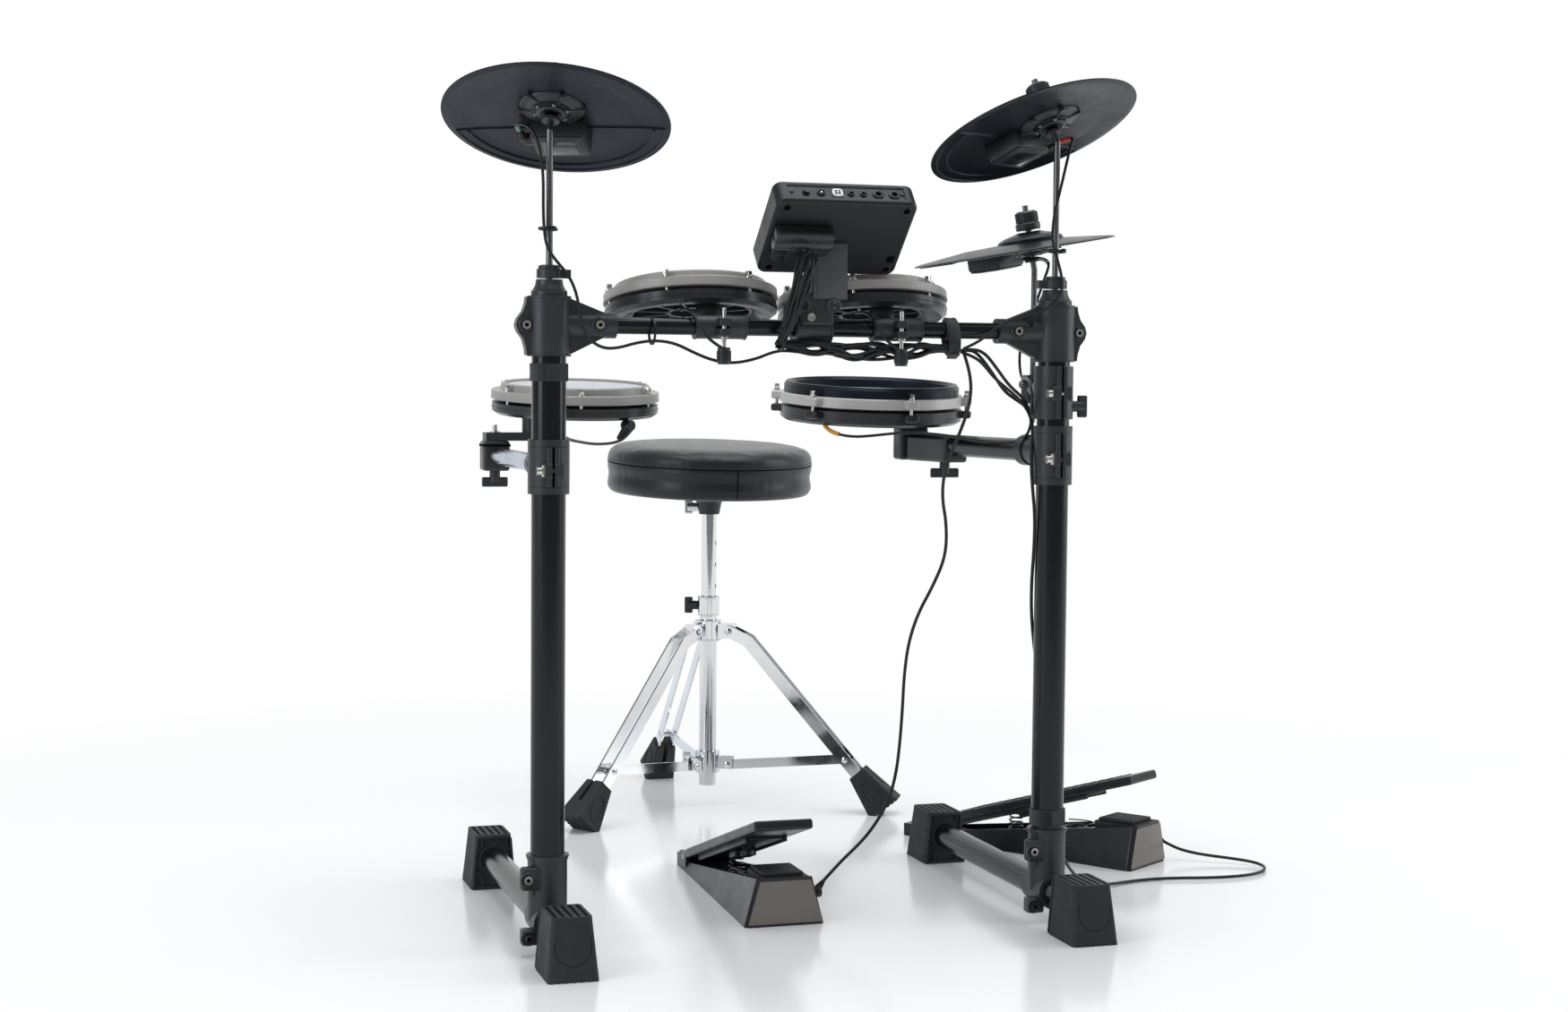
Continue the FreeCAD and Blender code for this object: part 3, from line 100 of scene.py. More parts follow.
ahead = Vector((math.sin(YAW) * math.cos(PITCH), math.cos(YAW) * math.cos(PITCH), -math.sin(PITCH)))
level = Vector((math.cos(YAW), -math.sin(YAW), 0))
above = level.cross(ahead)
across = level * math.cos(ROLL) + above * math.sin(ROLL)
upward = above * math.cos(ROLL) - level * math.sin(ROLL)
lens = bpy.data.cameras.new("audience_camera")
lens.sensor_width = SENSOR
lens.lens = FOCAL_PIXELS / PICTURE_WIDTH * SENSOR
camera = bpy.data.objects.new("audience_camera", lens)
aim = Matrix((across, upward, -ahead)).transposed().to_4x4()
camera.matrix_world = Matrix.Translation(row(*CAMERA_SPOT)) @ aim
bpy.context.scene.collection.objects.link(camera)
bpy.context.scene.camera = camera
print("camera:", [round(v, 3) for v in camera.location], "lens", round(lens.lens, 2))

# %% [markdown]
# ## Shared surface effects
# Almost everything here is black, so the finishes differ by grain, sheen and handling, not by colour. Each
# effect is a shader node group with named sockets: moulded grain for plastic, drawn lines for tube, woven
# threads for mesh heads and straps, hide grain for the seat, and handling marks that vary the gloss of them
# all.

# %% Shader groups


def feed(tree, node, inputs):
    """Fill a node's inputs by name or number: a socket is linked, anything else becomes the value."""
    for label, value in inputs.items():
        if isinstance(value, bpy.types.NodeSocket):
            tree.links.new(value, node.inputs[label])
        else:
            node.inputs[label].default_value = value


def add_node(tree, kind, inputs=None, **settings):
    """New node with its settings and inputs."""
    node = tree.nodes.new(kind)
    for label, value in settings.items():
        setattr(node, label, value)
    feed(tree, node, inputs or {})
    return node


def noise(tree, vector, scale, detail=4.0, rough=0.55):
    inputs = {"Vector": vector, "Scale": scale, "Detail": detail, "Roughness": rough}
    return add_node(tree, "ShaderNodeTexNoise", inputs).outputs["Fac"]


def ranged(tree, value, low, high, to_low=0.0, to_high=1.0):
    inputs = {"Value": value, "From Min": low, "From Max": high, "To Min": to_low, "To Max": to_high}
    return add_node(tree, "ShaderNodeMapRange", inputs).outputs["Result"]


def maths(tree, operation, first, second=0.0):
    return add_node(tree, "ShaderNodeMath", {0: first, 1: second}, operation=operation).outputs["Value"]


def stretched(tree, vector, scale):
    return add_node(tree, "ShaderNodeMapping", {"Vector": vector, "Scale": scale}).outputs["Vector"]


def shader_group(name, inputs, outputs, draw):
    """Shader group whose outputs a draw function makes from its inputs."""
    group = bpy.data.node_groups.new(name, "ShaderNodeTree")
    for label, kind in inputs:
        group.interface.new_socket(label, in_out="INPUT", socket_type=kind)
    for label in outputs:
        group.interface.new_socket(label, in_out="OUTPUT", socket_type="NodeSocketFloat")
    inlet, outlet = group.nodes.new("NodeGroupInput"), group.nodes.new("NodeGroupOutput")
    results = draw(group, *[inlet.outputs[label] for label, kind in inputs])
    feed(group, outlet, dict(zip(outputs, results)))
    return group


def moulded_grain(tree, place, scale):
    return noise(tree, place, scale, 3.0), ranged(tree, noise(tree, place, 11.0, 5.0), 0.35, 0.68)


def drawn_lines(tree, place, scale):
    lines = noise(tree, stretched(tree, place, (1.0, 1.0, 0.03)), scale, 2.0)
    broad = noise(tree, stretched(tree, place, (1.0, 1.0, 0.3)), 18.0, 5.0)
    return lines, ranged(tree, broad, 0.32, 0.7)


def woven_threads(tree, place, scale):
    inputs = {"Vector": place, "Scale": scale, "Distortion": 0.4}
    bands = [add_node(tree, "ShaderNodeTexWave", inputs, bands_direction=way).outputs["Fac"] for way in "XY"]
    return maths(tree, "MAXIMUM", *bands), maths(tree, "MULTIPLY", *bands)


def hide_grain(tree, place, scale):
    inputs = {"Vector": place, "Scale": scale}
    cells = add_node(tree, "ShaderNodeTexVoronoi", inputs, feature="DISTANCE_TO_EDGE")
    pebble = ranged(tree, cells.outputs["Distance"], 0.0, 0.22)
    height = maths(tree, "ADD", pebble, noise(tree, place, 60.0))
    return height, ranged(tree, noise(tree, place, 9.0, 6.0), 0.35, 0.7)


def handling_marks(tree, place):
    smudge = noise(tree, place, 24.0, 6.0, 0.65)
    scratch = noise(tree, stretched(tree, place, (1.0, 0.12, 1.0)), 160.0, 2.0)
    both = maths(tree, "ADD", maths(tree, "MULTIPLY", smudge, 0.75), maths(tree, "MULTIPLY", scratch, 0.25))
    return [ranged(tree, both, 0.38, 0.64)]


PLACE, SCALE = ("Vector", "NodeSocketVector"), ("Scale", "NodeSocketFloat")
DRAWN = {"moulded": moulded_grain, "drawn": drawn_lines, "woven": woven_threads, "hide": hide_grain}
PATTERNS = {key: shader_group(draw.__name__, [PLACE, SCALE], ["Height", "Mottle"], draw) for key,
            draw in DRAWN.items()}
MARKS = shader_group("handling_marks", [PLACE], ["Mask"], handling_marks)
print("shader groups:", sorted(g.name for g in PATTERNS.values()), MARKS.name)

# %% [markdown]
# ## Finishes
# One function lays a pattern group and the handling marks into a Principled shader: the pattern moves the
# colour between a deep and a pale tone and drives the bump, the marks move the roughness. Numbers that are
# the same all over, such as metallic or sheen, stay on the shader's own sockets.

# %% Finishes
COAT_ROUGHNESS = 0.12
BUMP_DEPTH = 0.0006
COOL_SHINE = (0.86, 0.92, 1.0)


def finish(name, deep, pale, rough, pattern="moulded", scale=1400.0, bump=0.12, metallic=0.0, sheen=0.0,
           coat=0.0,
           specular=0.5, tint=COOL_SHINE):
    """Procedural finish from two tones, a roughness range and a surface pattern."""
    material = bpy.data.materials.new(name)
    material.use_nodes = True
    tree = material.node_tree
    place = add_node(tree, "ShaderNodeTexCoord").outputs["Object"]
    surface = add_node(tree, "ShaderNodeGroup", node_tree=PATTERNS[pattern])
    feed(tree, surface, {"Vector": place, "Scale": scale})
    marks = add_node(tree, "ShaderNodeGroup", {"Vector": place}, node_tree=MARKS)
    tone = add_node(tree, "ShaderNodeMix", data_type="RGBA")
    feed(tree, tone, {"A": (*deep, 1.0), "B": (*pale, 1.0), "Factor": surface.outputs["Mottle"]})
    relief = add_node(tree, "ShaderNodeBump", {"Strength": bump, "Distance": BUMP_DEPTH})
    feed(tree, relief, {"Height": surface.outputs["Height"]})
    feed(tree, tree.nodes["Principled BSDF"], {
        "Metallic": metallic, "Sheen Weight": sheen, "Coat Weight": coat, "Coat Roughness": COAT_ROUGHNESS,
        "Specular IOR Level": specular, "Specular Tint": (*tint, 1.0), "Base Color": tone.outputs["Result"],
        "Roughness": ranged(tree, marks.outputs["Mask"], 0.0, 1.0,
                            *rough), "Normal": relief.outputs["Normal"]})
    return material


TUBE_BLACK = finish("tube_black", (0.0045, 0.0048, 0.0054), (0.0065, 0.0068, 0.0075), (0.15, 0.22), "drawn",
                    1600, 0.03, specular=0.36)
CLAMP_BLACK = finish("clamp_black", (0.019, 0.0196, 0.0212), (0.026, 0.0267, 0.0286), (0.33, 0.45),
                     scale=1900, bump=0.15)
SHELL_BLACK = finish("shell_black", (0.018, 0.0185, 0.0202), (0.024, 0.0246, 0.0266), (0.22, 0.32),
                     scale=1500, bump=0.05)
HOOP_GREY = finish("hoop_grey", (0.30, 0.29, 0.278), (0.36, 0.348, 0.334), (0.34, 0.48), scale=1800,
                   bump=0.08, metallic=0.2)
HOOP_BRIGHT = finish("hoop_bright", (0.46, 0.442, 0.43), (0.53, 0.512, 0.498), (0.30, 0.42), scale=1800,
                     bump=0.06, metallic=0.2)
MESH_WHITE = finish("mesh_white", (0.50, 0.51, 0.53), (0.74, 0.745, 0.75), (0.6, 0.75), "woven", 620, 0.5)
PAD_BLACK = finish("pad_black", (0.0038, 0.0052, 0.0082), (0.0056, 0.0070, 0.0104), (0.30, 0.40), scale=1200,
                   bump=0.04, specular=0.27, tint=(0.62, 0.76, 1.0))
MODULE_BLACK = finish("module_black", (0.008, 0.008, 0.0085), (0.0115, 0.0115, 0.012), (0.36, 0.48),
                      scale=2200, bump=0.15, specular=0.4)
PEDAL_BLACK = finish("pedal_black", (0.010, 0.0105, 0.0118), (0.015, 0.0158, 0.0175), (0.24, 0.36),
                     scale=1500, bump=0.08)
PEDAL_FRONT = finish("pedal_front", (0.175, 0.155, 0.14), (0.215, 0.19, 0.172), (0.34, 0.46), "drawn", 1500,
                     0.1, 0.3)
RUBBER_BLACK = finish("rubber_black", (0.018, 0.018, 0.0185), (0.026, 0.026, 0.0265), (0.58, 0.72),
                      scale=1100, bump=0.25, specular=0.4)
BRACKET_GREY = finish("bracket_grey", (0.070, 0.071, 0.074), (0.090, 0.091, 0.094), (0.34, 0.46), "drawn",
                      1500, 0.06, 0.3)
ARM_STEEL = finish("arm_steel", (0.36, 0.375, 0.40), (0.46, 0.475, 0.50), (0.12, 0.22), "drawn", 1400, 0.03,
                   1.0)
BOLT_NICKEL = finish("bolt_nickel", (0.62, 0.60, 0.56), (0.74, 0.72, 0.68), (0.14, 0.28), "drawn", 1500, 0.04,
                     1.0)
ROD_SMOKE = finish("rod_smoke", (0.16, 0.16, 0.165), (0.22, 0.22, 0.225), (0.24, 0.34), "drawn", 1700, 0.01,
                   1.0)
CHROME = finish("chrome", (0.70, 0.71, 0.725), (0.80, 0.805, 0.815), (0.045, 0.11), "drawn", 1200, 0.015, 1.0)
LEAD_BLACK = finish("lead_black", (0.007, 0.007, 0.0075), (0.010, 0.010, 0.0105), (0.38, 0.5), scale=1500,
                    bump=0.08, specular=0.4)
STRAP_BLACK = finish("strap_black", (0.005, 0.005, 0.0055), (0.010, 0.010, 0.0105), (0.82, 0.95), "woven",
                     520, 0.8, sheen=0.25)
SEAT_VINYL = finish("seat_vinyl", (0.0055, 0.006, 0.0068), (0.0078, 0.0083, 0.0092), (0.34, 0.42), "hide",
                    430, 0.05, sheen=0.16, specular=0.42)
FELT_GREY = finish("felt_grey", (0.03, 0.03, 0.03), (0.05, 0.05, 0.05), (0.9, 1.0), scale=700, bump=0.6,
                   sheen=0.3)
SOCKET_WHITE = finish("socket_white", (0.60, 0.60, 0.59), (0.70, 0.70, 0.69), (0.4, 0.5), bump=0.05)
# Near-black with almost no reflection: painted shade, laid where holes, gaps, bolt sockets and seam grooves
# fall dark.
PAINTED_SHADE = finish("hole_dark", (0.0012, 0.0012, 0.0012), (0.0024, 0.0024, 0.0024), (0.7, 0.85), bump=0.05,
                   specular=0.03)
SCREEN_SMOKE = finish("screen_smoke", (0.006, 0.008, 0.009), (0.009, 0.011, 0.012), (0.06, 0.14), bump=0.01,
                      coat=0.6)
SLEEVE_RED = finish("sleeve_red", (0.52, 0.055, 0.035), (0.62, 0.085, 0.055), (0.42, 0.55), bump=0.1)
SLEEVE_TEAL = finish("sleeve_teal", (0.10, 0.19, 0.19), (0.14, 0.24, 0.235), (0.42, 0.55), bump=0.1)
SLEEVE_WHITE = finish("sleeve_white", (0.62, 0.62, 0.61), (0.72, 0.72, 0.71), (0.42, 0.55), bump=0.1)
SLEEVE_ORANGE = finish("sleeve_orange", (0.62, 0.26, 0.02), (0.72, 0.33, 0.04), (0.42, 0.55), bump=0.1)
print("finishes:", len(bpy.data.materials))

# %% [markdown]
# ## Finishes on the CAD solids
# A solid whose shape is already right keeps its mesh and only gets a finish in its material slot. Leads,
# plugs, trigger boxes and the cushion are left out here, because pieces made further down stand in for them.

# %% Dress the CAD nodes
NODE_FINISH = {
    TUBE_BLACK: ["left_post", "right_post", "crossbar", "foot_tubes"],
    CLAMP_BLACK: ["base_clamps", "top_clamps", "hihat_clamp", "floor_clamp", "snare_clamp", "cymbal_nuts",
                  "tom1_clamp", "tom2_clamp"],
    SHELL_BLACK: ["tom1_shell", "tom2_shell", "floor_tom_shell", "snare_shell"],
    HOOP_GREY: ["tom1_hoop", "tom2_hoop", "floor_tom_hoop"],
    MESH_WHITE: ["tom1_head", "tom2_head", "floor_tom_head", "snare_head"],
    PAD_BLACK: ["ride_pad", "crash_pad", "hihat_pad"],
    MODULE_BLACK: ["module_case", "module_knob", "module_button"],
    PEDAL_BLACK: ["kick_base", "hihat_base", "kick_footboard", "hihat_footboard"],
    RUBBER_BLACK: ["rubber_feet", "pedal_cushions"],
    BOLT_NICKEL: ["rack_bolts"],
    ROD_SMOKE: ["cymbal_rods"],
    STRAP_BLACK: ["cable_straps"],
    CHROME: ["throne_post", "throne_slider", "throne_strut_1", "throne_strut_2", "throne_strut_3"]}
dressed = 0
for material, names in NODE_FINISH.items():
    for name in names:
        mesh = nodes[name].data
        mesh.materials.clear()
        mesh.materials.append(material)
        dressed += 1
print("dressed", dressed, "of", len(nodes), "nodes")

# %% [markdown]
# Some nodes hold solids of different stuff, such as a chromed arm with black plastic clamps and a nickel
# bolt. The CAD mesh comes as one patch for each face of a solid, so a patch is told by its middle and its
# size: a long patch is the arm's tube, and a small one near a known spot belongs to a bolt or a hand screw.

# %% Dress nodes of several parts


def patches(node):
    """Face numbers, middle and largest extent of each patch of a CAD mesh, in rack millimetres."""
    mesh = node.data
    leader = list(range(len(mesh.vertices)))

    def head(number):
        while leader[number] != number:
            leader[number] = leader[leader[number]]
            number = leader[number]
        return number

    for face in mesh.polygons:
        for corner in face.vertices[1:]:
            leader[head(corner)] = head(face.vertices[0])
    groups = {}
    for face in mesh.polygons:
        groups.setdefault(head(face.vertices[0]), []).append(face.index)
    for faces in groups.values():
        corners = {v for f in faces for v in mesh.polygons[f].vertices}
        points = [node.matrix_world @ mesh.vertices[v].co / MM - RACK_TO_ROW for v in corners]
        low = Vector([min(p[axis] for p in points) for axis in range(3)])
        high = Vector([max(p[axis] for p in points) for axis in range(3)])
        yield faces, (low + high) / 2, max(high - low)


def near(spot, reach):
    """Test for patches whose middle lies within reach of a spot."""
    return lambda middle, size: (middle - Vector(spot)).length < reach


SNARE_TOP, SNARE_LEAN = Vector((199, 351, 635)), math.radians(-4)
LONG_PATCH = 150
GUARD_FROM = -13.8
SHOE_FROM, SHOE_SIZE = 222, 95


def is_tube(middle, size):
    return size > LONG_PATCH


def is_guard(middle, size):
    away = middle - SNARE_TOP
    return away.y * math.sin(SNARE_LEAN) + away.z * math.cos(SNARE_LEAN) > GUARD_FROM


def is_shoe(middle, size):
    away = middle - Vector(THRONE_SPOT)
    return math.hypot(away.x, away.y) > SHOE_FROM and size < SHOE_SIZE


PART_FINISH = {
    "floor_arm": (CLAMP_BLACK, [(ARM_STEEL, is_tube), (BOLT_NICKEL, near((-317.5, -24.5, 536), 6.5))]),
    "snare_arm": (CLAMP_BLACK, [(TUBE_BLACK, is_tube), (BOLT_NICKEL, near((284.5, -24.5, 547.5), 6.5))]),
    "snare_hoop": (HOOP_BRIGHT, [(PAD_BLACK, is_guard)]),
    "module_bracket": (CLAMP_BLACK, [(BOLT_NICKEL, near((-8, -27.5, 708), 6.0))]),
    "throne_socket": (CLAMP_BLACK, [(CHROME, near((81.6, 817.8, 447), 16))]),
    "throne_tube": (CHROME, [(CLAMP_BLACK, near((82.5, 817.4, 301), 16))])}
for number in (1, 2, 3):
    PART_FINISH["throne_leg_%d" % number] = (CHROME, [(RUBBER_BLACK, is_shoe)])
for name, (common, rules) in PART_FINISH.items():
    mesh = nodes[name].data
    mesh.materials.clear()
    for material in [common] + [special for special, test in rules]:
        mesh.materials.append(material)
    for faces, middle, size in patches(nodes[name]):
        chosen = next((k for k, (special, test) in enumerate(rules, 1) if test(middle, size)), 0)
        for number in faces:
            mesh.polygons[number].material_index = chosen
print("nodes of several parts:", len(PART_FINISH))

# %% [markdown]
# ## Making pieces
# Small parts are turned, sawn and drawn in millimetres with bmesh, and only then stood in place. A lathe
# turns a profile about its Z axis, a slab is a block with softened edges, a rod runs between two points, and
# settle makes the mesh an object, gives it its finish and lets it ride on a body of the frame.

# %% Mesh helpers
SHARP_EDGE = math.radians(38)
FLAT = Matrix.Identity(4)


def link(piece):
    """Put an object into the scene."""
    bpy.context.scene.collection.objects.link(piece)
    return piece


def mesh_of(piece):
    """Plain mesh of an object, with its modifiers or its bevel in it."""
    return bpy.data.meshes.new_from_object(piece.evaluated_get(bpy.context.evaluated_depsgraph_get()))


def closed_mesh(name, bm):
    """Mesh of a bmesh, which is then freed."""
    mesh = bpy.data.meshes.new(name)
    bm.to_mesh(mesh)
    bm.free()
    return mesh


def pour(bm, mesh, place=FLAT):
    """Add a loose mesh to a larger one, in its place."""
    mesh.transform(place)
    bm.from_mesh(mesh)
    bpy.data.meshes.remove(mesh)


def soften(part, edge):
    """Round off all the edges of a part."""
    bmesh.ops.bevel(part, geom=part.edges[:], offset=edge, segments=2, profile=0.6, affect="EDGES")


def lathe(bm, profile, place, segments=40, closed=False):
    """Turn an outline of radius and height about local Z."""
    rings = []
    for radius, height in profile:
        count = segments if radius > 1e-6 else 1
        turns = [2 * math.pi * k / segments for k in range(count)]
        points = [Vector((radius * math.cos(t), radius * math.sin(t), height)) for t in turns]
        rings.append([bm.verts.new(place @ p) for p in points])
    pairs = list(zip(rings, rings[1:]))
    if closed:
        pairs.append((rings[-1], rings[0]))
    for low, high in pairs:
        for k in range(segments):
            after = k + 1
            corners = [low[k % len(low)], low[after % len(low)], high[after % len(high)], high[k % len(high)]]
            corners = list(dict.fromkeys(corners))
            if len(corners) > 2:
                bm.faces.new(corners)


def hoop(bm, profile, place, segments=40):
    """Turn a closed outline, which leaves a hole in the middle."""
    lathe(bm, profile, place, segments, closed=True)


def slab(bm, x_span, y_span, z_span, place, edge=0.6):
    """Block between pairs of limits, with softened edges."""
    part = bmesh.new()
    bmesh.ops.create_cube(part, size=1.0)
    spans = (x_span, y_span, z_span)
    for vert in part.verts:
        vert.co = Vector([(s[0] + s[1]) / 2 + c * (s[1] - s[0]) for s, c in zip(spans, vert.co)])
    soften(part, edge)
    pour(bm, closed_mesh("part", part), place)


def axis_place(start, end, place):
    """Matrix whose Z runs from one point to another."""
    run = Vector(end) - Vector(start)
    return place @ Matrix.Translation(start) @ run.to_track_quat("Z", "Y").to_matrix().to_4x4()


def rod(bm, start, end, radius, place, segments=20, edge=0.4, tip=None):
    """Round bar between two points, with chamfered ends and an optional smaller tip."""
    length = (Vector(end) - Vector(start)).length
    far = radius if tip is None else tip
    profile = [(0, 0), (radius - edge, 0), (radius, edge), (far, length - edge), (far - edge, length),
               (0, length)]
    lathe(bm, profile, axis_place(start, end, place), segments)


def plate(bm, outline, y_span, place, edge):
    """Flat plate of an X-Z outline between two Y limits, with softened edges."""
    part = bmesh.new()
    face = part.faces.new([part.verts.new((x, y_span[0], z)) for x, z in outline])
    extruded = bmesh.ops.extrude_face_region(part, geom=[face])
    moved = [item for item in extruded["geom"] if isinstance(item, bmesh.types.BMVert)]
    bmesh.ops.translate(part, verts=moved, vec=(0, y_span[1] - y_span[0], 0))
    bmesh.ops.recalc_face_normals(part, faces=part.faces)
    soften(part, edge)
    pour(bm, closed_mesh("part", part), place)


def wire(name, points, radius, kind="POLY", closed=False, sides=2):
    """Round curve through points, and its spline."""
    curve = bpy.data.curves.new(name, "CURVE")
    curve.dimensions = "3D"
    spline = curve.splines.new(kind)
    spline.points.add(len(points) - 1)
    for point, spot in zip(spline.points, points):
        point.co = (*spot, 1.0)
    spline.use_cyclic_u = closed
    curve.bevel_depth = radius
    curve.bevel_resolution = sides
    curve.use_fill_caps = True
    return link(bpy.data.objects.new(name, curve)), spline


def bead(bm, points, place, radius, closed=False):
    """Thin rounded bead along points given in a piece's own millimetres."""
    holder = wire("bead", points, radius, closed=closed)[0]
    mesh = mesh_of(holder)
    bpy.data.objects.remove(holder)
    pour(bm, mesh, place)


def show(name, mesh, material=None):
    """Object for a finished mesh, with smooth faces and crisp edges."""
    if material:
        mesh.materials.clear()
        mesh.materials.append(material)
    mesh.polygons.foreach_set("use_smooth", [True] * len(mesh.polygons))
    mesh.set_sharp_from_angle(angle=SHARP_EDGE)
    return link(bpy.data.objects.new(name, mesh))


def carry(piece, body):
    """Let a piece ride on a body."""
    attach(piece, body)
    return piece


def settle(name, bm, material, body):
    """Close a bmesh into a piece that rides on a body."""
    bmesh.ops.remove_doubles(bm, verts=bm.verts, dist=1e-6)
    bmesh.ops.recalc_face_normals(bm, faces=bm.faces)
    return carry(show(name, closed_mesh(name, bm), material), body)


def shaped(shapes):
    """Bmesh of a few shapes, each given as one of the helpers above and its values."""
    bm = bmesh.new()
    for shape, *values in shapes:
        shape(bm, *values)
    return bm


def make(name, material, body, slot, *shapes):
    """Piece of a few shapes that rides on a body."""
    return settle(name, shaped(shapes), material, body)


# %% [markdown]
# ## Geometry Nodes for what repeats
# Screws in a ring, ribs in a row, stitches along a seam and the coils of a spring all follow a rule, so each
# has a small node tree with named inputs. The tree ends in Realize Instances and Set Material, and its result
# is turned into a plain mesh at once, because instances and live modifiers don't travel with an exported
# model.

# %% Geometry node trees


def new_tree(name, inputs):
    """Geometry node tree with named inputs, and its input and output nodes."""
    tree = bpy.data.node_groups.new(name, "GeometryNodeTree")
    for label, kind in inputs:
        tree.interface.new_socket(label, in_out="INPUT", socket_type=kind)
    tree.interface.new_socket("Geometry", in_out="OUTPUT", socket_type="NodeSocketGeometry")
    return tree, tree.nodes.new("NodeGroupInput"), tree.nodes.new("NodeGroupOutput")


def finish_tree(tree, inlet, outlet, geometry):
    """End a tree in real geometry with its finish."""
    real = add_node(tree, "GeometryNodeRealizeInstances", {"Geometry": geometry})
    paint = add_node(tree, "GeometryNodeSetMaterial", {"Geometry": real.outputs["Geometry"]})
    feed(tree, paint, {"Material": inlet.outputs["Finish"]})
    feed(tree, outlet, {"Geometry": paint.outputs["Geometry"]})
    return tree


def spots(tree, inlet, position):
    """As many points as the tree's count, at a position for each."""
    inputs = {"Count": inlet.outputs["Count"], "Position": position}
    return add_node(tree, "GeometryNodePoints", inputs).outputs["Points"]


def instances(tree, inlet, points, **turned):
    """The tree's Part object on every point."""
    part = add_node(tree, "GeometryNodeObjectInfo", {"As Instance": True, "Object": inlet.outputs["Part"]})
    inputs = {"Points": points, "Instance": part.outputs["Geometry"], **turned}
    return add_node(tree, "GeometryNodeInstanceOnPoints", inputs).outputs["Instances"]


REPEAT = [("Part", "NodeSocketObject"), ("Count", "NodeSocketInt"), ("Finish", "NodeSocketMaterial")]


def ring_tree():
    sizes = [("Radius", "NodeSocketFloat"), ("Start", "NodeSocketFloat")]
    tree, inlet, outlet = new_tree("ring_of_parts", REPEAT + sizes)
    index = add_node(tree, "GeometryNodeInputIndex").outputs["Index"]
    share = maths(tree, "DIVIDE", 2 * math.pi, inlet.outputs["Count"])
    angle = maths(tree, "ADD", maths(tree, "MULTIPLY", index, share), inlet.outputs["Start"])
    x, y = [maths(tree, "MULTIPLY", maths(tree, way, angle), inlet.outputs["Radius"]) for way in ("COSINE",
                                                                                                  "SINE")]
    spot = add_node(tree, "ShaderNodeCombineXYZ", {"X": x, "Y": y})
    turn = add_node(tree, "ShaderNodeCombineXYZ", {"Z": angle})
    points = spots(tree, inlet, spot.outputs["Vector"])
    return finish_tree(tree, inlet, outlet, instances(tree, inlet, points, Rotation=turn.outputs["Vector"]))


def line_tree():
    tree, inlet, outlet = new_tree("row_of_parts", REPEAT + [("Step", "NodeSocketVector")])
    index = add_node(tree, "GeometryNodeInputIndex").outputs["Index"]
    inputs = {0: inlet.outputs["Step"], "Scale": index}
    spot = add_node(tree, "ShaderNodeVectorMath", inputs, operation="SCALE")
    points = spots(tree, inlet, spot.outputs["Vector"])
    return finish_tree(tree, inlet, outlet, instances(tree, inlet, points))


def path_tree():
    tree, inlet, outlet = new_tree("parts_along_path", REPEAT + [("Path", "NodeSocketObject")])
    path = add_node(tree, "GeometryNodeObjectInfo", {"Object": inlet.outputs["Path"]})
    inputs = {"Curve": path.outputs["Geometry"], "Count": inlet.outputs["Count"]}
    points = add_node(tree, "GeometryNodeCurveToPoints", inputs).outputs
    placed = instances(tree, inlet, points["Points"], Rotation=points["Rotation"])
    return finish_tree(tree, inlet, outlet, placed)


def coil_tree():
    sizes = [(label, "NodeSocketFloat") for label in ("Rotations", "Low Radius", "High Radius", "Height",
                                                      "Wire")]
    tree, inlet, outlet = new_tree("wound_wire", [("Finish", "NodeSocketMaterial")] + sizes)
    size = inlet.outputs
    coil = add_node(tree, "GeometryNodeCurveSpiral", {
        "Resolution": 24, "Rotations": size["Rotations"], "Start Radius": size["Low Radius"],
        "End Radius": size["High Radius"], "Height": size["Height"]})
    section = add_node(tree, "GeometryNodeCurvePrimitiveCircle", {"Resolution": 8, "Radius": size["Wire"]})
    wound = add_node(tree, "GeometryNodeCurveToMesh", {
        "Fill Caps": True, "Curve": coil.outputs["Curve"], "Profile Curve": section.outputs["Curve"]})
    return finish_tree(tree, inlet, outlet, wound.outputs["Mesh"])


RING, LINE, PATH, COIL = ring_tree(), line_tree(), path_tree(), coil_tree()


def grow(name, tree, place, values):
    """Plain mesh piece grown by a tree, then stood in place."""
    host = link(bpy.data.objects.new(name + "_host", bpy.data.meshes.new(name + "_host")))
    modifier = host.modifiers.new("grow", "NODES")
    modifier.node_group = tree
    for item in tree.interface.items_tree:
        if item.in_out == "INPUT":
            modifier[item.identifier] = values[item.name]
    mesh = mesh_of(host)
    bpy.data.objects.remove(host)
    mesh.name = name
    mesh.transform(place)
    return show(name, mesh)


def grown(name, tree, place, values, body):
    """Grown piece that rides on a body."""
    return carry(grow(name, tree, place, values), body)


def ring(name, part, count, radius, start, material, place, body):
    """Parts in a ring about a place's Z axis."""
    values = {"Part": part, "Count": count, "Finish": material, "Radius": radius, "Start": start}
    grown(name, RING, place, values, body)


def pattern_part(name, *shapes):
    """Part in millimetres that a tree repeats."""
    bm = shaped(shapes)
    bmesh.ops.recalc_face_normals(bm, faces=bm.faces)
    return show(name, closed_mesh(name, bm))


print("trees:", [tree.name for tree in (RING, LINE, PATH, COIL)])
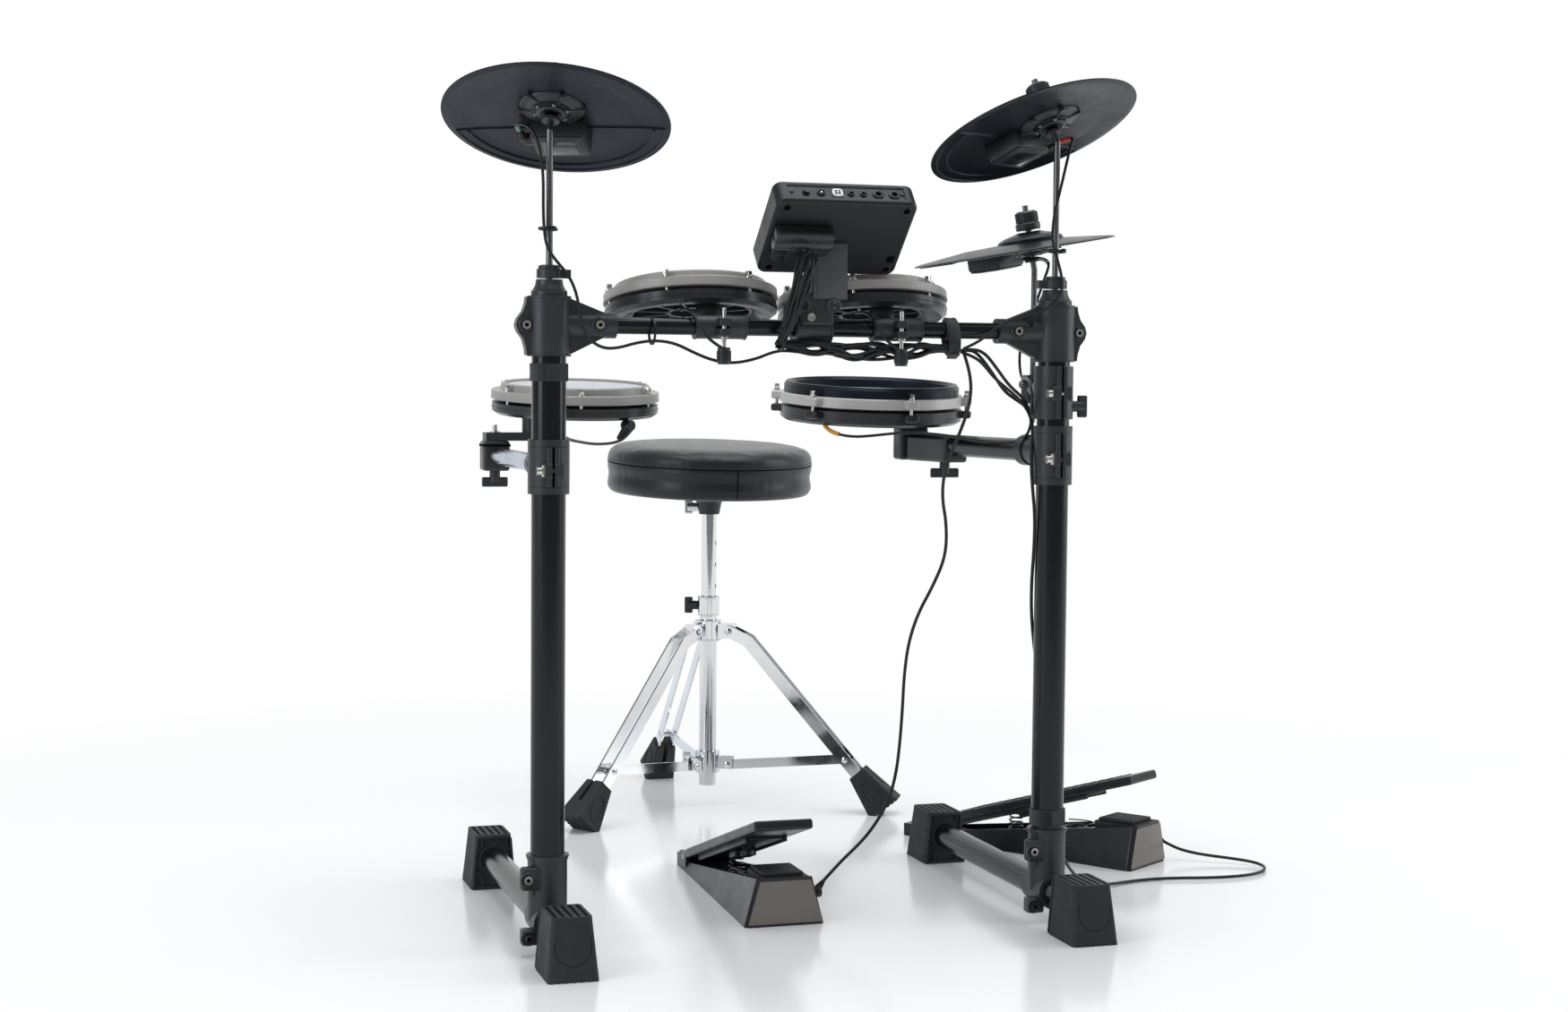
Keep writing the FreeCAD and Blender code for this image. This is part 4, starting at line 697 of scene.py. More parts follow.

# %% [markdown]
# ## The two free leads
# The kick pedal's lead leaves the bundle at the crossbar's strap, hangs in a slow wave and runs into the
# pedal's side. The hi-hat pedal's lead comes off the right post, lies on the floor in an open loop and goes
# into the other pedal. Each is one NURBS curve on the same points as its CAD tube, so its bends are smooth,
# as a real lead's are.

# %% Free leads
LEAD = 4.0
KICK_ROUTE = [
    (185, -7, 669), (193, -10, 645), (194, -6, 612), (184, 4, 574), (172, 14, 540), (172, 26, 504),
    (183, 36, 468), (186, 46, 430), (174, 56, 394), (159, 64, 362), (150, 72, 326), (148, 80, 286),
    (149, 87, 244), (148, 92, 202), (145, 95, 166), (137, 95, 136), (123, 93, 112), (106, 88, 93),
    (88, 82, 79), (71, 75, 68), (57, 70, 57), (45, 66, 47)]
HIHAT_ROUTE = [
    (318, 22, 128), (321, 24, 110), (327, 29, 90), (337, 37, 69), (352, 50, 49), (374, 70, 30),
    (402, 96, 16), (430, 122, 7), (462, 143, 3), (504, 154, 3), (548, 153, 3), (590, 142, 3),
    (634, 140, 3), (672, 152, 3), (694, 178, 4), (692, 208, 5), (667, 230, 7), (641, 247, 9),
    (622, 260, 12), (606, 268, 17), (592, 273, 25)]


PEDALS = {"kick": ((-9, 45, 0), 0.0), "hihat": ((554, 241, 0), 35.0)}


def pedal_place(name):
    """Matrix on the floor under a pedal's front, turned as the pedal is."""
    front, degrees = PEDALS[name]
    return Matrix.Translation(row(*front)) @ Matrix.Rotation(math.radians(degrees), 4, "Z") @ Matrix.Scale(MM,
                                                                                                           4)


def lead_curve(name, route, diameter):
    """Smooth round lead on the points of its route."""
    piece, spline = wire(name, [row(*spot) for spot in route], diameter / 2 * MM, "NURBS", sides=3)
    spline.order_u = 3
    spline.use_endpoint_u = True
    spline.resolution_u = 6
    return piece


def as_mesh(piece, material):
    """Plain mesh piece made from a curve, which is then removed."""
    name = piece.name
    mesh = mesh_of(piece)
    bpy.data.objects.remove(piece)
    return show(name, mesh, material)


def pedal_plug(bm, place, lead_end):
    """Right-angle plug against a pedal's side: barrel, grip rings and a ribbed relief to the lead."""
    heart = Vector((41.0, 15.0, 35.0))
    lathe(bm, [(0, -7.5), (6.5, -7.5), (6.5, -2), (6.0, -1.5), (6.0, 0.5), (6.5, 1), (6.5, 5.6), (5.4, 7),
               (0, 7)],
          axis_place(heart - Vector((0.01, 0, 0)), heart + Vector((10, 0, 0)), place), 28)
    tip = place.inverted() @ row(*lead_end)
    length = (tip - heart).length
    rungs = [(0, 3.0)]
    for k in range(5):
        base = 5.5 + 2.2 * k
        radius = 4.6 - 0.42 * k
        rungs += [(radius, base), (radius, base + 1.3), (radius - 0.7, base + 1.5),
                  (radius - 0.7, base + 2.1)]
    rungs += [(2.1, length), (0, length)]
    lathe(bm, rungs, axis_place(heart, tip, place), 20)


FREE_LEADS = {
    "kick": (KICK_ROUTE, 0.691, "hanging"),
    "hihat": (HIHAT_ROUTE, 0.643, "loose")}
for name, (route, length, lay) in FREE_LEADS.items():
    plug = bmesh.new()
    pedal_plug(plug, pedal_place(name), route[-1])
    plug = settle(name + "_lead_plug", plug, LEAD_BLACK, "root")
    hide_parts("lead_plugs")
    lead = lead_curve(name + "_pedal_lead", route, LEAD)
    lead.data.materials.append(LEAD_BLACK)
    carry(lead, "root")
    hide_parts(name + "_lead")
    row(*route[0])
print("free leads: 2, with moulded plugs")

# %% [markdown]
# ## Leads that the rack holds
# Every pad has a thin lead that follows its rod or arm to the crossbar. A lead starts on a pad that moves and
# ends on the rack, and its mesh is made in place and rides on neither body. Next to the plugs of the cymbals
# and the snare sits a short coloured sleeve.

# %% Pad leads
PAD_LEADS = {
    "ride": ("ride_cymbal", SLEEVE_TEAL, (0.012, 0.05), [
        (-322, 55, 909), (-329, 41, 913), (-332, 26, 915), (-330, 12, 915), (-322, 1, 909), (-316, -3, 898),
        (-311, -5, 878), (-309, -6, 852), (-309, -5, 826), (-308, -4, 801),
        (-306, -10, 779), (-295, -12, 764), (-283, -15, 750), (-276, -21, 733), (-273, -26, 713),
        (-270, -27, 693), (-260, -24, 678), (-244, -19, 670), (-226, -15, 671), (-206, -14, 677),
        (-184, -14, 680), (-162, -14, 677), (-140, -11, 667), (-118, -5, 659), (-94, -4, 655),
        (-68, -9, 660), (-50, -13, 668), (-34, -15, 671), (-12, -16, 668)]),
    "crash": ("crash_cymbal", SLEEVE_RED, (0.02, 0.11), [
        (315, 57, 917), (323, 44, 922), (328, 30, 925), (328, 16, 925), (322, 4, 919), (316, -2, 908),
        (310, -5, 888), (303, -7, 862), (297, -6, 838), (294, -6, 815), (294, -8, 797), (300, -12, 775),
        (303, -16, 757), (300, -23, 742), (291, -27, 730), (277, -27, 721),
        (259, -24, 715), (242, -21, 710), (227, -18, 703), (213, -16, 694), (198, -15, 682), (181, -15,
                                                                                              675)]),
    "hihat": ("hihat_cymbal", SLEEVE_WHITE, (0.02, 0.14), [
        (365, 246, 795), (375, 233, 795), (382, 219, 793), (383, 205, 788), (378, 195, 780), (372, 193, 767),
        (364, 192, 745), (356, 194, 722), (349, 196, 700),
        (341, 195, 679), (337, 187, 660), (334, 175, 646), (328, 156, 641), (321, 130, 642), (312, 102, 641),
        (303, 76, 638), (296, 54, 631), (291, 38, 621), (287, 28, 608), (284, 24, 594)]),
    "floor_tom": ("floor_tom", None, None, [
        (-149, 240, 575), (-160, 228, 565), (-176, 212, 560), (-196, 190, 559), (-216, 162, 560),
        (-236, 132, 563), (-254, 100, 566), (-268, 68, 570), (-277, 40, 575), (-282, 24, 586), (-285, 18,
                                                                                                606),
        (-286, 15, 630), (-286, 15, 652), (-287, 13, 668)]),
    "snare": ("snare", SLEEVE_ORANGE, (0.02, 0.12), [
        (111, 287, 583), (114, 278, 575), (124, 266, 569), (141, 253, 566), (162, 240, 568), (182, 228, 571),
        (205, 214, 573), (232, 190, 571), (252, 160, 567), (266, 125, 564), (276, 90, 564), (282, 60, 566),
        (284, 38, 573), (284, 27, 584), (284, 24, 594)])}
STILL_POINT = 7
THIN_LEAD, SLEEVE = LEAD - 0.5, LEAD + 1.4
TOM_LOOP = [(-36, 34, 19), (-36, 20, 20), (-35, 5, 19), (-33, -9, 15), (-30, -19, 4), (-24, -25, -9),
            (-14, -29, -19), (-2, -31, -26)]
TOM_CLAMPS = {"tom1": -107, "tom2": 103}
for tom, clamp_x in TOM_CLAMPS.items():
    PAD_LEADS[tom] = (tom, None, None, [(clamp_x + x, y, BAR_Z + z) for x, y, z in TOM_LOOP])


def bent_between(piece, body, moving_end, still_end):
    """Bake a lead's placement into its mesh; it rides on neither body."""
    row(*still_end)
    row(*moving_end)
    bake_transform(piece)


for pad, (body, sleeve, span, route) in PAD_LEADS.items():
    still = route[min(STILL_POINT, len(route) - 1)]
    bent_between(as_mesh(lead_curve(pad + "_pad_lead", route, THIN_LEAD), LEAD_BLACK), body, route[0], still)
    if sleeve:
        tube = lead_curve(pad + "_lead_sleeve", route, SLEEVE)
        tube.data.bevel_factor_start, tube.data.bevel_factor_end = span
        bent_between(as_mesh(tube, sleeve), body, route[0], still)
print("pad leads:", len(PAD_LEADS))

# %% [markdown]
# ## Harness and bundle
# The module has one wide connector with a dozen thin leads. They fan down to a tie on the crossbar and run
# right in a loose bundle to a strap. Each strand follows the bundle's middle line with its own small, seeded
# wander, so daylight shows between the strands as it does in a real bundle.

# %% Harness and bundle
HARNESS = [(-15, -38, 775), (-19, -44, 764), (-24, -45, 749), (-30, -41, 728), (-36, -34, 703),
           (-41, -27, 683)]
BUNDLE = [(-44, -13, 678), (-22, -14, 676), (0, -15, 674), (24, -16, 672), (50, -15, 670), (78, -9, 670),
          (104, -6, 671), (128, -8, 673), (148, -11, 675), (167, -12, 675)]
BRANCH = [(184, 2, 672), (196, -3, 671), (209, -6, 664), (225, -5, 649), (243, 0, 631), (260, 6, 616),
          (275, 13, 604), (284, 24, 594)]
POST_LEAD = [(284, 24, 594), (281, 12, 578), (276, 4, 560), (274, 0, 540), (275, -2, 515), (279, -2, 480),
             (280, 2, 440), (280, 8, 400), (283, 14, 360), (292, 21, 310), (303, 24, 250), (312, 23, 190),
             (317, 22, 145), (318, 22, 128)]
STRAND = 3.8
luck = random.Random(11)


def strands(name, route, count, spread, finish_at, fan=0.0, weave=0.0):
    """Strands along one route, gathered at its ends by finish_at, apart and crossing between them."""
    bm = bmesh.new()
    for number in range(count):
        points = []
        for step, (x, y, z) in enumerate(route):
            turn = 2 * math.pi * number / count + weave * math.sin(1.25 * step + 2.4 * number)
            share = step / (len(route) - 1)
            loose = finish_at + (1 - finish_at) * math.sin(math.pi * share)
            reach = spread * loose * (0.55 + 0.6 * luck.random())
            start_fan = fan * (1 - share) * (number - (count - 1) / 2)
            points.append((x + start_fan + 0.35 * reach * luck.uniform(-1, 1), y + reach * math.cos(turn),
                           z + reach * math.sin(turn)))
        strand = lead_curve("strand", points, STRAND)
        mesh = mesh_of(strand)
        bpy.data.objects.remove(strand)
        pour(bm, mesh)
    return show(name, closed_mesh(name, bm), LEAD_BLACK)


harness = strands("module_harness", HARNESS, 12, 12.0, 0.6, fan=1.9, weave=0.3)
bent_between(harness, "module", HARNESS[0], HARNESS[-1])
bundle = strands("crossbar_bundle", BUNDLE, 10, 11.0, 0.35, weave=1.5)
carry(bundle, "root")
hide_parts("pad_leads")
carry(strands("post_branch", BRANCH, 3, 8.0, 0.3, weave=0.8), "root")
carry(as_mesh(lead_curve("post_lead", POST_LEAD, LEAD), LEAD_BLACK), "root")
print("harness, bundle, branch and post lead made")

# %% [markdown]
# ## Ties and straps
# Thin plastic ties hold the leads to the rods and the crossbar, and three hook-and-loop straps go round the
# tubes. The strap is a woven band with a rolled edge and a loose tail, so it is a ring with a lip, not a
# plain cylinder.

# %% Ties and straps


def tie(bm, centre, axis, radius):
    """Plastic tie round a tube, with its square lock."""
    place = stand(centre, up=axis, along=(0.3, -0.9, 0.2))
    hoop(bm, [(radius, -1.4), (radius + 1.3, -1.2), (radius + 1.3, 1.2), (radius, 1.4)], place, 28)
    slab(bm, (radius + 0.4, radius + 4.4), (-2.4, 2.4), (-2.2, 2.2), place, 0.5)


ties = bmesh.new()
for centre, axis, radius in (((-303, -2, 800), (0.05, 0.05, 1), 9.5), ((300, -5, 790), (0.05, 0.05, 1), 10),
                             ((-186, -5, 690), (1, 0, 0), 14), ((-41, -22, 680), (1, 0.1, -0.1), 9),
                             ((265, -16, 709), (1, 0, 0.2), 5)):
    tie(ties, centre, axis, radius)
settle("lead_ties", ties, LEAD_BLACK, "root")

straps = bmesh.new()
round_bundle = Matrix.Diagonal((1.85, 1.12, 1.0, 1.0))
for centre, axis, along, inner, half, tail, squash in (
        ((-301, 0, 643.5), (0, 0, 1), (0.25, -1, 0), 19, 9.5, 26, FLAT),
        ((301, 0, 123.5), (0, 0, 1), (0.25, -1, 0), 19, 9.5, 20, FLAT),
        ((169.5, -4, 688.5), (1, 0, 0), (0, -0.35, -0.94), 10.4, 6.5, 12, round_bundle)):
    place = stand(centre, up=axis, along=along) @ squash
    outline = [(inner, -half), (inner + 1.6, -half - 0.4), (inner + 2.3, -half + 0.8), (inner + 2.0, 0),
               (inner + 2.3, half - 0.8), (inner + 1.6, half + 0.4), (inner, half)]
    hoop(straps, outline, place, 48)
    slab(straps, (inner + 1.8, inner + 3.0), (-tail / 2, tail / 2), (-half + 0.6, half - 0.6), place, 0.5)
settle("strap_bands", straps, STRAP_BLACK, "root")
print("ties: 5, straps: 3")

# %% [markdown]
# ## Cymbal pads
# From below, a cymbal pad is a smooth rubber disc with a hub of small screws. The player's half is a separate
# playing zone: a straight seam crosses the disc below the hub and a stepped edge follows the rim. The seams
# are thin beads laid on the underside, whose height comes from the disc's own profile.

# %% Cymbal pads
CYMBALS = {
    "ride": ((-301, 0, 907), (0.151, 0.339, 0.929), (0.41, 0.91, 0), 1),
    "crash": ((301, 0, 917), (-0.214, 0.352, 0.911), (-0.52, 0.85, 0), -1),
    "hihat": ((357, 190, 777), (-0.172, 0.007, 0.985), (-0.60, 0.80, 0), -1)}
BEND_TO_PAD = 32.0
PAD_RADIUS = 127.0
PAD_OFFSET = 25.0
STEP_AT = 93
SEAM_X = 21.0


def underside(reach):
    """Height of the pad's underside at a distance from the disc's centre."""
    if reach < STEP_AT:
        return -3 - 1.5 * reach / STEP_AT
    return -4.5 - 2 * (reach - STEP_AT) / 27


def on_underside(x, y):
    """Point on the pad's underside, in the pad's frame, where the disc's centre is off the hub."""
    return (x + PAD_OFFSET, y, underside(math.hypot(x, y)))


def rim_arc(radius, seam_x, count=60):
    """Points along an arc of the player's half, from seam end to seam end."""
    limit = math.acos(seam_x / radius)
    turns = [-limit + 2 * limit * k / count for k in range(count + 1)]
    return [on_underside(radius * math.cos(t), radius * math.sin(t)) for t in turns]


small_screw = pattern_part("small_screw", (
    lathe, [(0, -2.0), (1.2, -1.9), (2.1, -1.1), (2.4, 0.2), (0, 0.2)], FLAT, 14))
grip_rib = pattern_part("grip_rib", (slab, (-0.9, 0.9), (-0.75, 0.75), (0, 11.6), FLAT, 0.35))
for name, (bend, normal, player, plug_side) in CYMBALS.items():
    body = name + "_cymbal"
    mount = Vector(bend) + Vector(normal).normalized() * BEND_TO_PAD
    place = stand(mount, normal, player)
    half = math.sqrt((PAD_RADIUS - 7) ** 2 - SEAM_X ** 2)
    straight = [on_underside(SEAM_X, -half + 2 * half * k / 24) for k in range(25)]
    make(name + "_pad_seams", PAD_BLACK, body, "pad_rubber", (bead, straight, place, 1.5),
         (bead, rim_arc(PAD_RADIUS - 7, SEAM_X), place, 1.2),
         (bead, rim_arc(PAD_RADIUS - 19, SEAM_X + 4), place, 1.6))
    hub = bmesh.new()
    hoop(hub, [(21.2, -2.5), (34, -2.8), (36, -4.2), (34.5, -6.6), (30, -7.4), (24, -8.2), (21.2, -8.2)],
         place, 56)
    hoop(hub, [(12.2, -11), (17.2, -11), (17.2, -12.4), (15, -13.4), (12.2, -13.4)], place, 40)
    for turn in range(6):
        spoke = place @ Matrix.Rotation(math.radians(60 * turn + 30), 4, "Z")
        slab(hub, (20, 37.5), (-2.2, 2.2), (-9.4, -4.2), spoke, 0.8)
    settle(name + "_hub", hub, CLAMP_BLACK, body)
    ring(name + "_hub_screws", small_screw, 6, 18.9, 0.35, ROD_SMOKE,
         place @ Matrix.Translation((0, 0, -11)), body)
    ring(name + "_nut_grip", grip_rib, 24, 13.4, 0.0, CLAMP_BLACK,
         place @ Matrix.Translation((0, 0, 29.2)), "root")
    make(name + "_felts", FELT_GREY, "root", "black_plastic",
         (hoop, [(4.2, 18.1), (6.8, 18.1), (7.1, 18.4), (6.8, 18.7), (4.2, 18.7)], place, 32),
         (hoop, [(4.2, -16.2), (6.8, -16.2), (7.1, -16.5), (6.8, -16.9), (4.2, -16.9)], place, 32))
    box = bmesh.new()
    slab(box, (30, 78), (-31, 31), (-23, 0.5), place, 4.5)
    slab(box, (32.5, 75.5), (-28.5, 28.5), (-24.2, -22.5), place, 0.9)
    slab(box, (36, 72), (-25, 25), (-24.8, -23.8), place, 0.5)
    for y in range(-21, 22, 7):
        slab(box, (77.2, 79.2), (y - 1.6, y + 1.6), (-19, -6), place, 0.6)
    plug_turn = Matrix.Rotation(math.radians(-90 * plug_side), 4, "X") @ Matrix.Scale(0.9, 4)
    plug_place = place @ Matrix.Translation((54, plug_side * 36, -14)) @ plug_turn
    lathe(box, [(0, -15.5), (6.4, -15.5), (6.4, -11), (7.6, -10), (7.6, 4), (6.4, 5), (0, 5)], plug_place, 24)
    plug_heart, relief_tip = (54, plug_side * 42, -14), (30, plug_side * 42, -16)
    for rung in range(5):
        height, radius = 7 + 3.2 * rung, 5.2 - 0.45 * rung
        hoop(box, [(1.5, height), (radius, height), (radius, height + 1.8), (1.5, height + 1.8)],
             axis_place(plug_heart, relief_tip, place), 20)
    rod(box, plug_heart, relief_tip, 4.2, place, 18, 0.5, 2.4)
    box = settle(name + "_trigger_trim", box, CLAMP_BLACK, body)
    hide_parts(name + "_trigger")
    make(name + "_trigger_plate", SCREEN_SMOKE, body, "black_plastic",
         (slab, (40, 70), (-19, 19), (-25.2, -24.6), place, 0.25))
print("cymbal pads:", len(CYMBALS))

# %% [markdown]
# ## Drum pads
# Each drum pad is a hoop pulled down on a shell by tension screws. The screw's head stands on the hoop and
# its bright shank shows in the dark gap below. Six repeat round each pad, so a ring tree sets them. Below,
# the shell is a shallow dish with radial ribs.

# %% Drum pads
DRUMS = {
    "tom1": ((-112, 110, 746), 10, 101, 39, (-20, -9), -121),
    "tom2": ((99, 110, 746), 10, 101, 39, (-20, -9), -115),
    "floor_tom": ((-199, 332, 631), -4, 104, 39, (-20, -9), -98),
    "snare": (SNARE_TOP, -4, 119, 50, (-27, -15), 34.5)}
KEY_SCREWS, DISH_RIBS = 6, 12

key_screw = pattern_part(
    "key_screw", (lathe, [(0, 0), (4.8, 0), (4.8, 1.2), (3.7, 1.6), (3.7, 2.8), (0, 2.8)], FLAT, 18),
    (slab, (-2.9, 2.9), (-2.9, 2.9), (2.6, 8.6), FLAT, 0.5),
    (rod, (0, 0, -18), (0, 0, 1), 2.1, FLAT, 12, 0.3))
shell_rib = pattern_part("shell_rib", (slab, (26, 71), (-1.5, 1.5), (-7.5, 1.0), FLAT, 0.7))
for name, (top, tilt, radius, height, (low, high), start) in DRUMS.items():
    tip_over = math.radians(tilt)
    place = stand(top, (0, math.sin(tip_over), math.cos(tip_over)))
    reach = radius + 5.5 if name == "snare" else radius - 5
    dish = -height + 13
    ring(name + "_key_screws", key_screw, KEY_SCREWS, reach, math.radians(start), BOLT_NICKEL,
         place @ Matrix.Translation((0, 0, high)), name)
    ring(name + "_dish_ribs", shell_rib, DISH_RIBS, 0.0, 0.1, SHELL_BLACK,
         place @ Matrix.Translation((0, 0, dish)), name)
    inner, outer = radius - 1.0, radius + 0.7
    make(name + "_hoop_trim", HOOP_BRIGHT if name == "snare" else HOOP_GREY, name, "hoop_grey",
         (hoop, [(inner, low + 0.6), (outer, low + 1.0), (outer, low + 2.4), (inner, low + 2.8)], place, 96))
    under = bmesh.new()
    hoop(under, [(24, dish + 0.5), (24, dish - 6), (27, dish - 7), (30, dish - 6), (30, dish + 0.5)], place,
         48)
    inner, outer = radius - 33, radius - 30.5
    hoop(under, [(inner, dish + 0.5), (inner, dish - 8), (outer, dish - 8), (outer, dish + 0.5)], place, 72)
    inner, outer = radius - 1.6, radius - 0.2
    hoop(under, [(inner, 8 - height), (outer, 8.3 - height), (outer, 9.6 - height), (inner, 9.9 - height)],
         place, 96)
    settle(name + "_shell_trim", under, SHELL_BLACK, name)
print("drum pads:", len(DRUMS))

# %% [markdown]
# The floor tom's lead goes in through a right-angle plug with a ribbed relief.

# %% Floor tom plug
tom_plug = bmesh.new()
plug_spot, (plug_far, lead_next) = Vector((-153, 247, 580)), map(Vector, PAD_LEADS["floor_tom"][3][:2])
inward = (Vector((-199, 332, 580)) - plug_spot).normalized()
slope = (lead_next - plug_far).normalized()
elbow = plug_spot - inward * 3
rod(tom_plug, plug_spot + inward * 6, plug_spot - inward * 9, 6.6, RACK, 24, 1.2)
rod(tom_plug, elbow, elbow + slope * 12, 5.6, RACK, 20, 1.0, 4.8)
for rung in range(4):
    foot = elbow + slope * (13.5 + 4.2 * rung)
    rod(tom_plug, foot, foot + slope * 2.9, 4.7 - 0.5 * rung, RACK, 18, 0.4)
rod(tom_plug, elbow + slope * 8, elbow + slope * 30, 2.4, RACK, 14, 0.3)
settle("floor_tom_plug", tom_plug, LEAD_BLACK, "floor_tom")
print("floor tom plug made")

# %% [markdown]
# ## Clamps on the crossbar and arms
# Each tom sits on a clamp of two jaws that a long screw draws together in front of the bar: a bright thread
# above, square jaw ends, and a knurled knob below. The sleeve that grips the bar is longer than the jaws.

# %% Tom clamps
for tom, clamp_x in TOM_CLAMPS.items():
    rims = bmesh.new()
    for edge in (clamp_x - 30, clamp_x + 27.6):
        hoop(rims, [(13.0, 0), (14.3, 0.4), (14.3, 2.0), (13.0, 2.4)],
             axis_place((edge, 0, BAR_Z), (edge + 2, 0, BAR_Z), RACK), 40)
    lathe(rims, [(0, 0), (13.6, 0), (14.4, 1.5), (14.4, 15), (13, 17), (0, 17)],
          stand((clamp_x, 48, 706)), 36)
    settle(tom + "_clamp_rims", rims, CLAMP_BLACK, tom)
    make(tom + "_clamp_thread", BOLT_NICKEL, tom, "bolt_steel",
         (rod, (clamp_x, -19, 673.2), (clamp_x, -19, 716.6), 2.55, RACK, 16, 0.4),
         (hoop, [(2.4, 0), (5.2, 0), (5.2, 1.2), (2.4, 1.2)], stand((clamp_x, -19, 683.6)), 24))
    ring(tom + "_knob_grip", grip_rib, 16, 7.2, 0.0, CLAMP_BLACK,
         stand((clamp_x, -19, 657.6)), tom)
make("floor_clamp_thread", BOLT_NICKEL, "floor_tom", "bolt_steel",
     (rod, (-302, 322, 567), (-302, 322, 579), 3.0, RACK, 16, 0.5),
     (hoop, [(2.9, 0), (6.2, 0), (6.2, 1.6), (2.9, 1.6)], stand((-302, 322, 569.4)), 24))
# A near-black slab between the floor clamp's jaws: painted shade in the gap.
make("floor_clamp_gap", PAINTED_SHADE, "floor_tom", "black_plastic",
     (slab, (-319.0, -285.0), (306.5, 337.5), (552.5, 555.2), RACK, 0.2))
print("tom clamps dressed")

# %% [markdown]
# ## Sound module
# The module's upper edge holds its sockets: a power switch, a power inlet, a square data socket, two small
# and two large jacks. Its back has four deep screw wells, a square clip hole and the wide harness plug with
# two thumb screws. The dark insides of the sockets, wells and clip hole are painted shade: near-black discs
# and sheets.

# %% Module
MODULE_LEAN = math.radians(42)
MODULE = stand((22, -70, 834), (0, math.sin(MODULE_LEAN), math.cos(MODULE_LEAN)))
WELLS = ((-70, 11), (70, 11), (-70, 103), (70, 103))
SOCKET_Z = 15


def edge_place(x, z):
    """Matrix on the socket edge of the module, facing out of it."""
    return MODULE @ Matrix.Translation((x, 1.2, z)) @ Matrix.Rotation(math.radians(90), 4, "X")


sockets = bmesh.new()
# Near-black discs and sheets inside the jacks, the data socket, the clip hole and the screw wells: painted
# shade of the holes' depth.
hole_shade = bmesh.new()
for x, outer, inner in ((5, 4.2, 2.0), (19.5, 4.2, 2.0), (37, 6.6, 3.4), (56, 6.6, 3.4), (-30, 5.0, 3.1)):
    hoop(sockets,
         [(inner, -0.5), (inner, 1.4), (inner + 0.5, 1.8), (outer - 0.8, 1.8), (outer, 1.2), (outer, -0.5)],
         edge_place(x, SOCKET_Z), 32)
    lathe(hole_shade, [(0, 0.2), (inner + 0.1, 0.2), (inner + 0.1, 0.5), (0, 0.5)], edge_place(x, SOCKET_Z), 24)
for z_span in ((24.4, 25.6), (7.0, 7.8)):
    slab(sockets, (-68, 68), (0.4, 1.4), z_span, MODULE, 0.3)
for x in (-64, 66):
    lathe(sockets, [(0, 0), (2.4, 0), (2.4, 0.9), (1.8, 1.2), (0, 1.2)], edge_place(x, 16), 20)
settle("module_sockets", sockets, MODULE_BLACK, "module")
slab(hole_shade, (-14.5, -7.5), (-0.55, 0.4), (12.2, 18.6), MODULE, 0.4)
slab(hole_shade, (67.0, 76.0), (82, 92), (-0.25, 0.6), MODULE, 0.4)
for x, y in WELLS:
    lathe(hole_shade, [(0, -0.2), (4.0, -0.2), (4.0, 0.4), (0, 0.4)], MODULE @ Matrix.Translation((x, y, 0)), 24)
settle("module_holes", hole_shade, PAINTED_SHADE, "module")
make("module_screw_wells", MODULE_BLACK, "module", "module_plastic", *[
    (hoop, [(4.0, -0.5), (5.6, -0.7), (6.6, 0.2), (4.0, 0.2)], MODULE @ Matrix.Translation((x, y, 0)), 28)
    for x, y in WELLS])
data_socket = bmesh.new()
for x_span, z_span in (((-17, -14.2), (9.8, 21)), ((-7.8, -5), (9.8, 21)),
                       ((-17, -5), (9.8, 12.4)), ((-17, -5), (18.4, 21))):
    slab(data_socket, x_span, (-0.6, 1.6), z_span, MODULE, 0.25)
slab(data_socket, (-12.6, -9.4), (-0.8, 0.6), (14.2, 16.8), MODULE, 0.2)
settle("module_data_socket", data_socket, SOCKET_WHITE, "module")
make("module_power_pin", BOLT_NICKEL, "module", "bolt_steel",
     (rod, (-30, 0.6, SOCKET_Z), (-30, -0.6, SOCKET_Z), 1.3, MODULE, 14, 0.3))
connector = bmesh.new()
slab(connector, (-78, -10), (38, 53), (-15.8, -0.2), MODULE, 1.8)
slab(connector, (-62, -26), (50, 77), (-17.0, -3.5), MODULE, 1.6)
lathe(connector, [(0, 0), (7.8, 0), (8.8, 1.4), (8.8, 66.6), (7.8, 68), (0, 68)],
      axis_place((-78, 55, -9.4), (-10, 55, -9.4), MODULE), 32)
for x in (-70, -18):
    rod(connector, (x, 58, -9), (x, 82, -9), 4.6, MODULE, 20, 0.8)
    for rib in range(12):
        turn = math.radians(30 * rib)
        rib_x, rib_z = x + 4.5 * math.cos(turn), -9 + 4.5 * math.sin(turn)
        rod(connector, (rib_x, 70, rib_z), (rib_x, 81, rib_z), 0.7, MODULE, 6, 0.2)
settle("module_connector", connector, SHELL_BLACK, "module")
make("module_screen", SCREEN_SMOKE, "module", "module_plastic",
     (slab, (-62, 10), (18, 62), (31.6, 32.7), MODULE, 0.4))
KEYS = [(x, 74) for x in range(-62, 44, 21)] + [(22, 60), (43, 60)]
make("module_keys", RUBBER_BLACK, "module", "module_plastic", *[
    (slab, (x, x + 15), (y, y + 7), (31.4, 34), MODULE, 0.8) for x, y in KEYS])
make("module_knob_line", SOCKET_WHITE, "knob", "module_plastic",
     (slab, (39.4, 40.6), (27, 34), (44.6, 45.4), MODULE, 0.2))
bracket = bmesh.new()
for edge in (-20.4, 19.4):
    hoop(bracket, [(17.4, 0), (18.9, 0.4), (18.9, 2.6), (17.4, 3)],
         axis_place((edge, 0, BAR_Z), (edge + 2, 0, BAR_Z), RACK), 44)
for x in (-17, 19):
    hoop(bracket, [(5, -0.4), (5, 1.6), (6.4, 2.6), (7.6, 2.6), (9, 1.4), (9, -0.4)],
         stand((x, -24, 722), (0, -1, 0)), 32)
settle("module_bracket_trim", bracket, CLAMP_BLACK, "module")
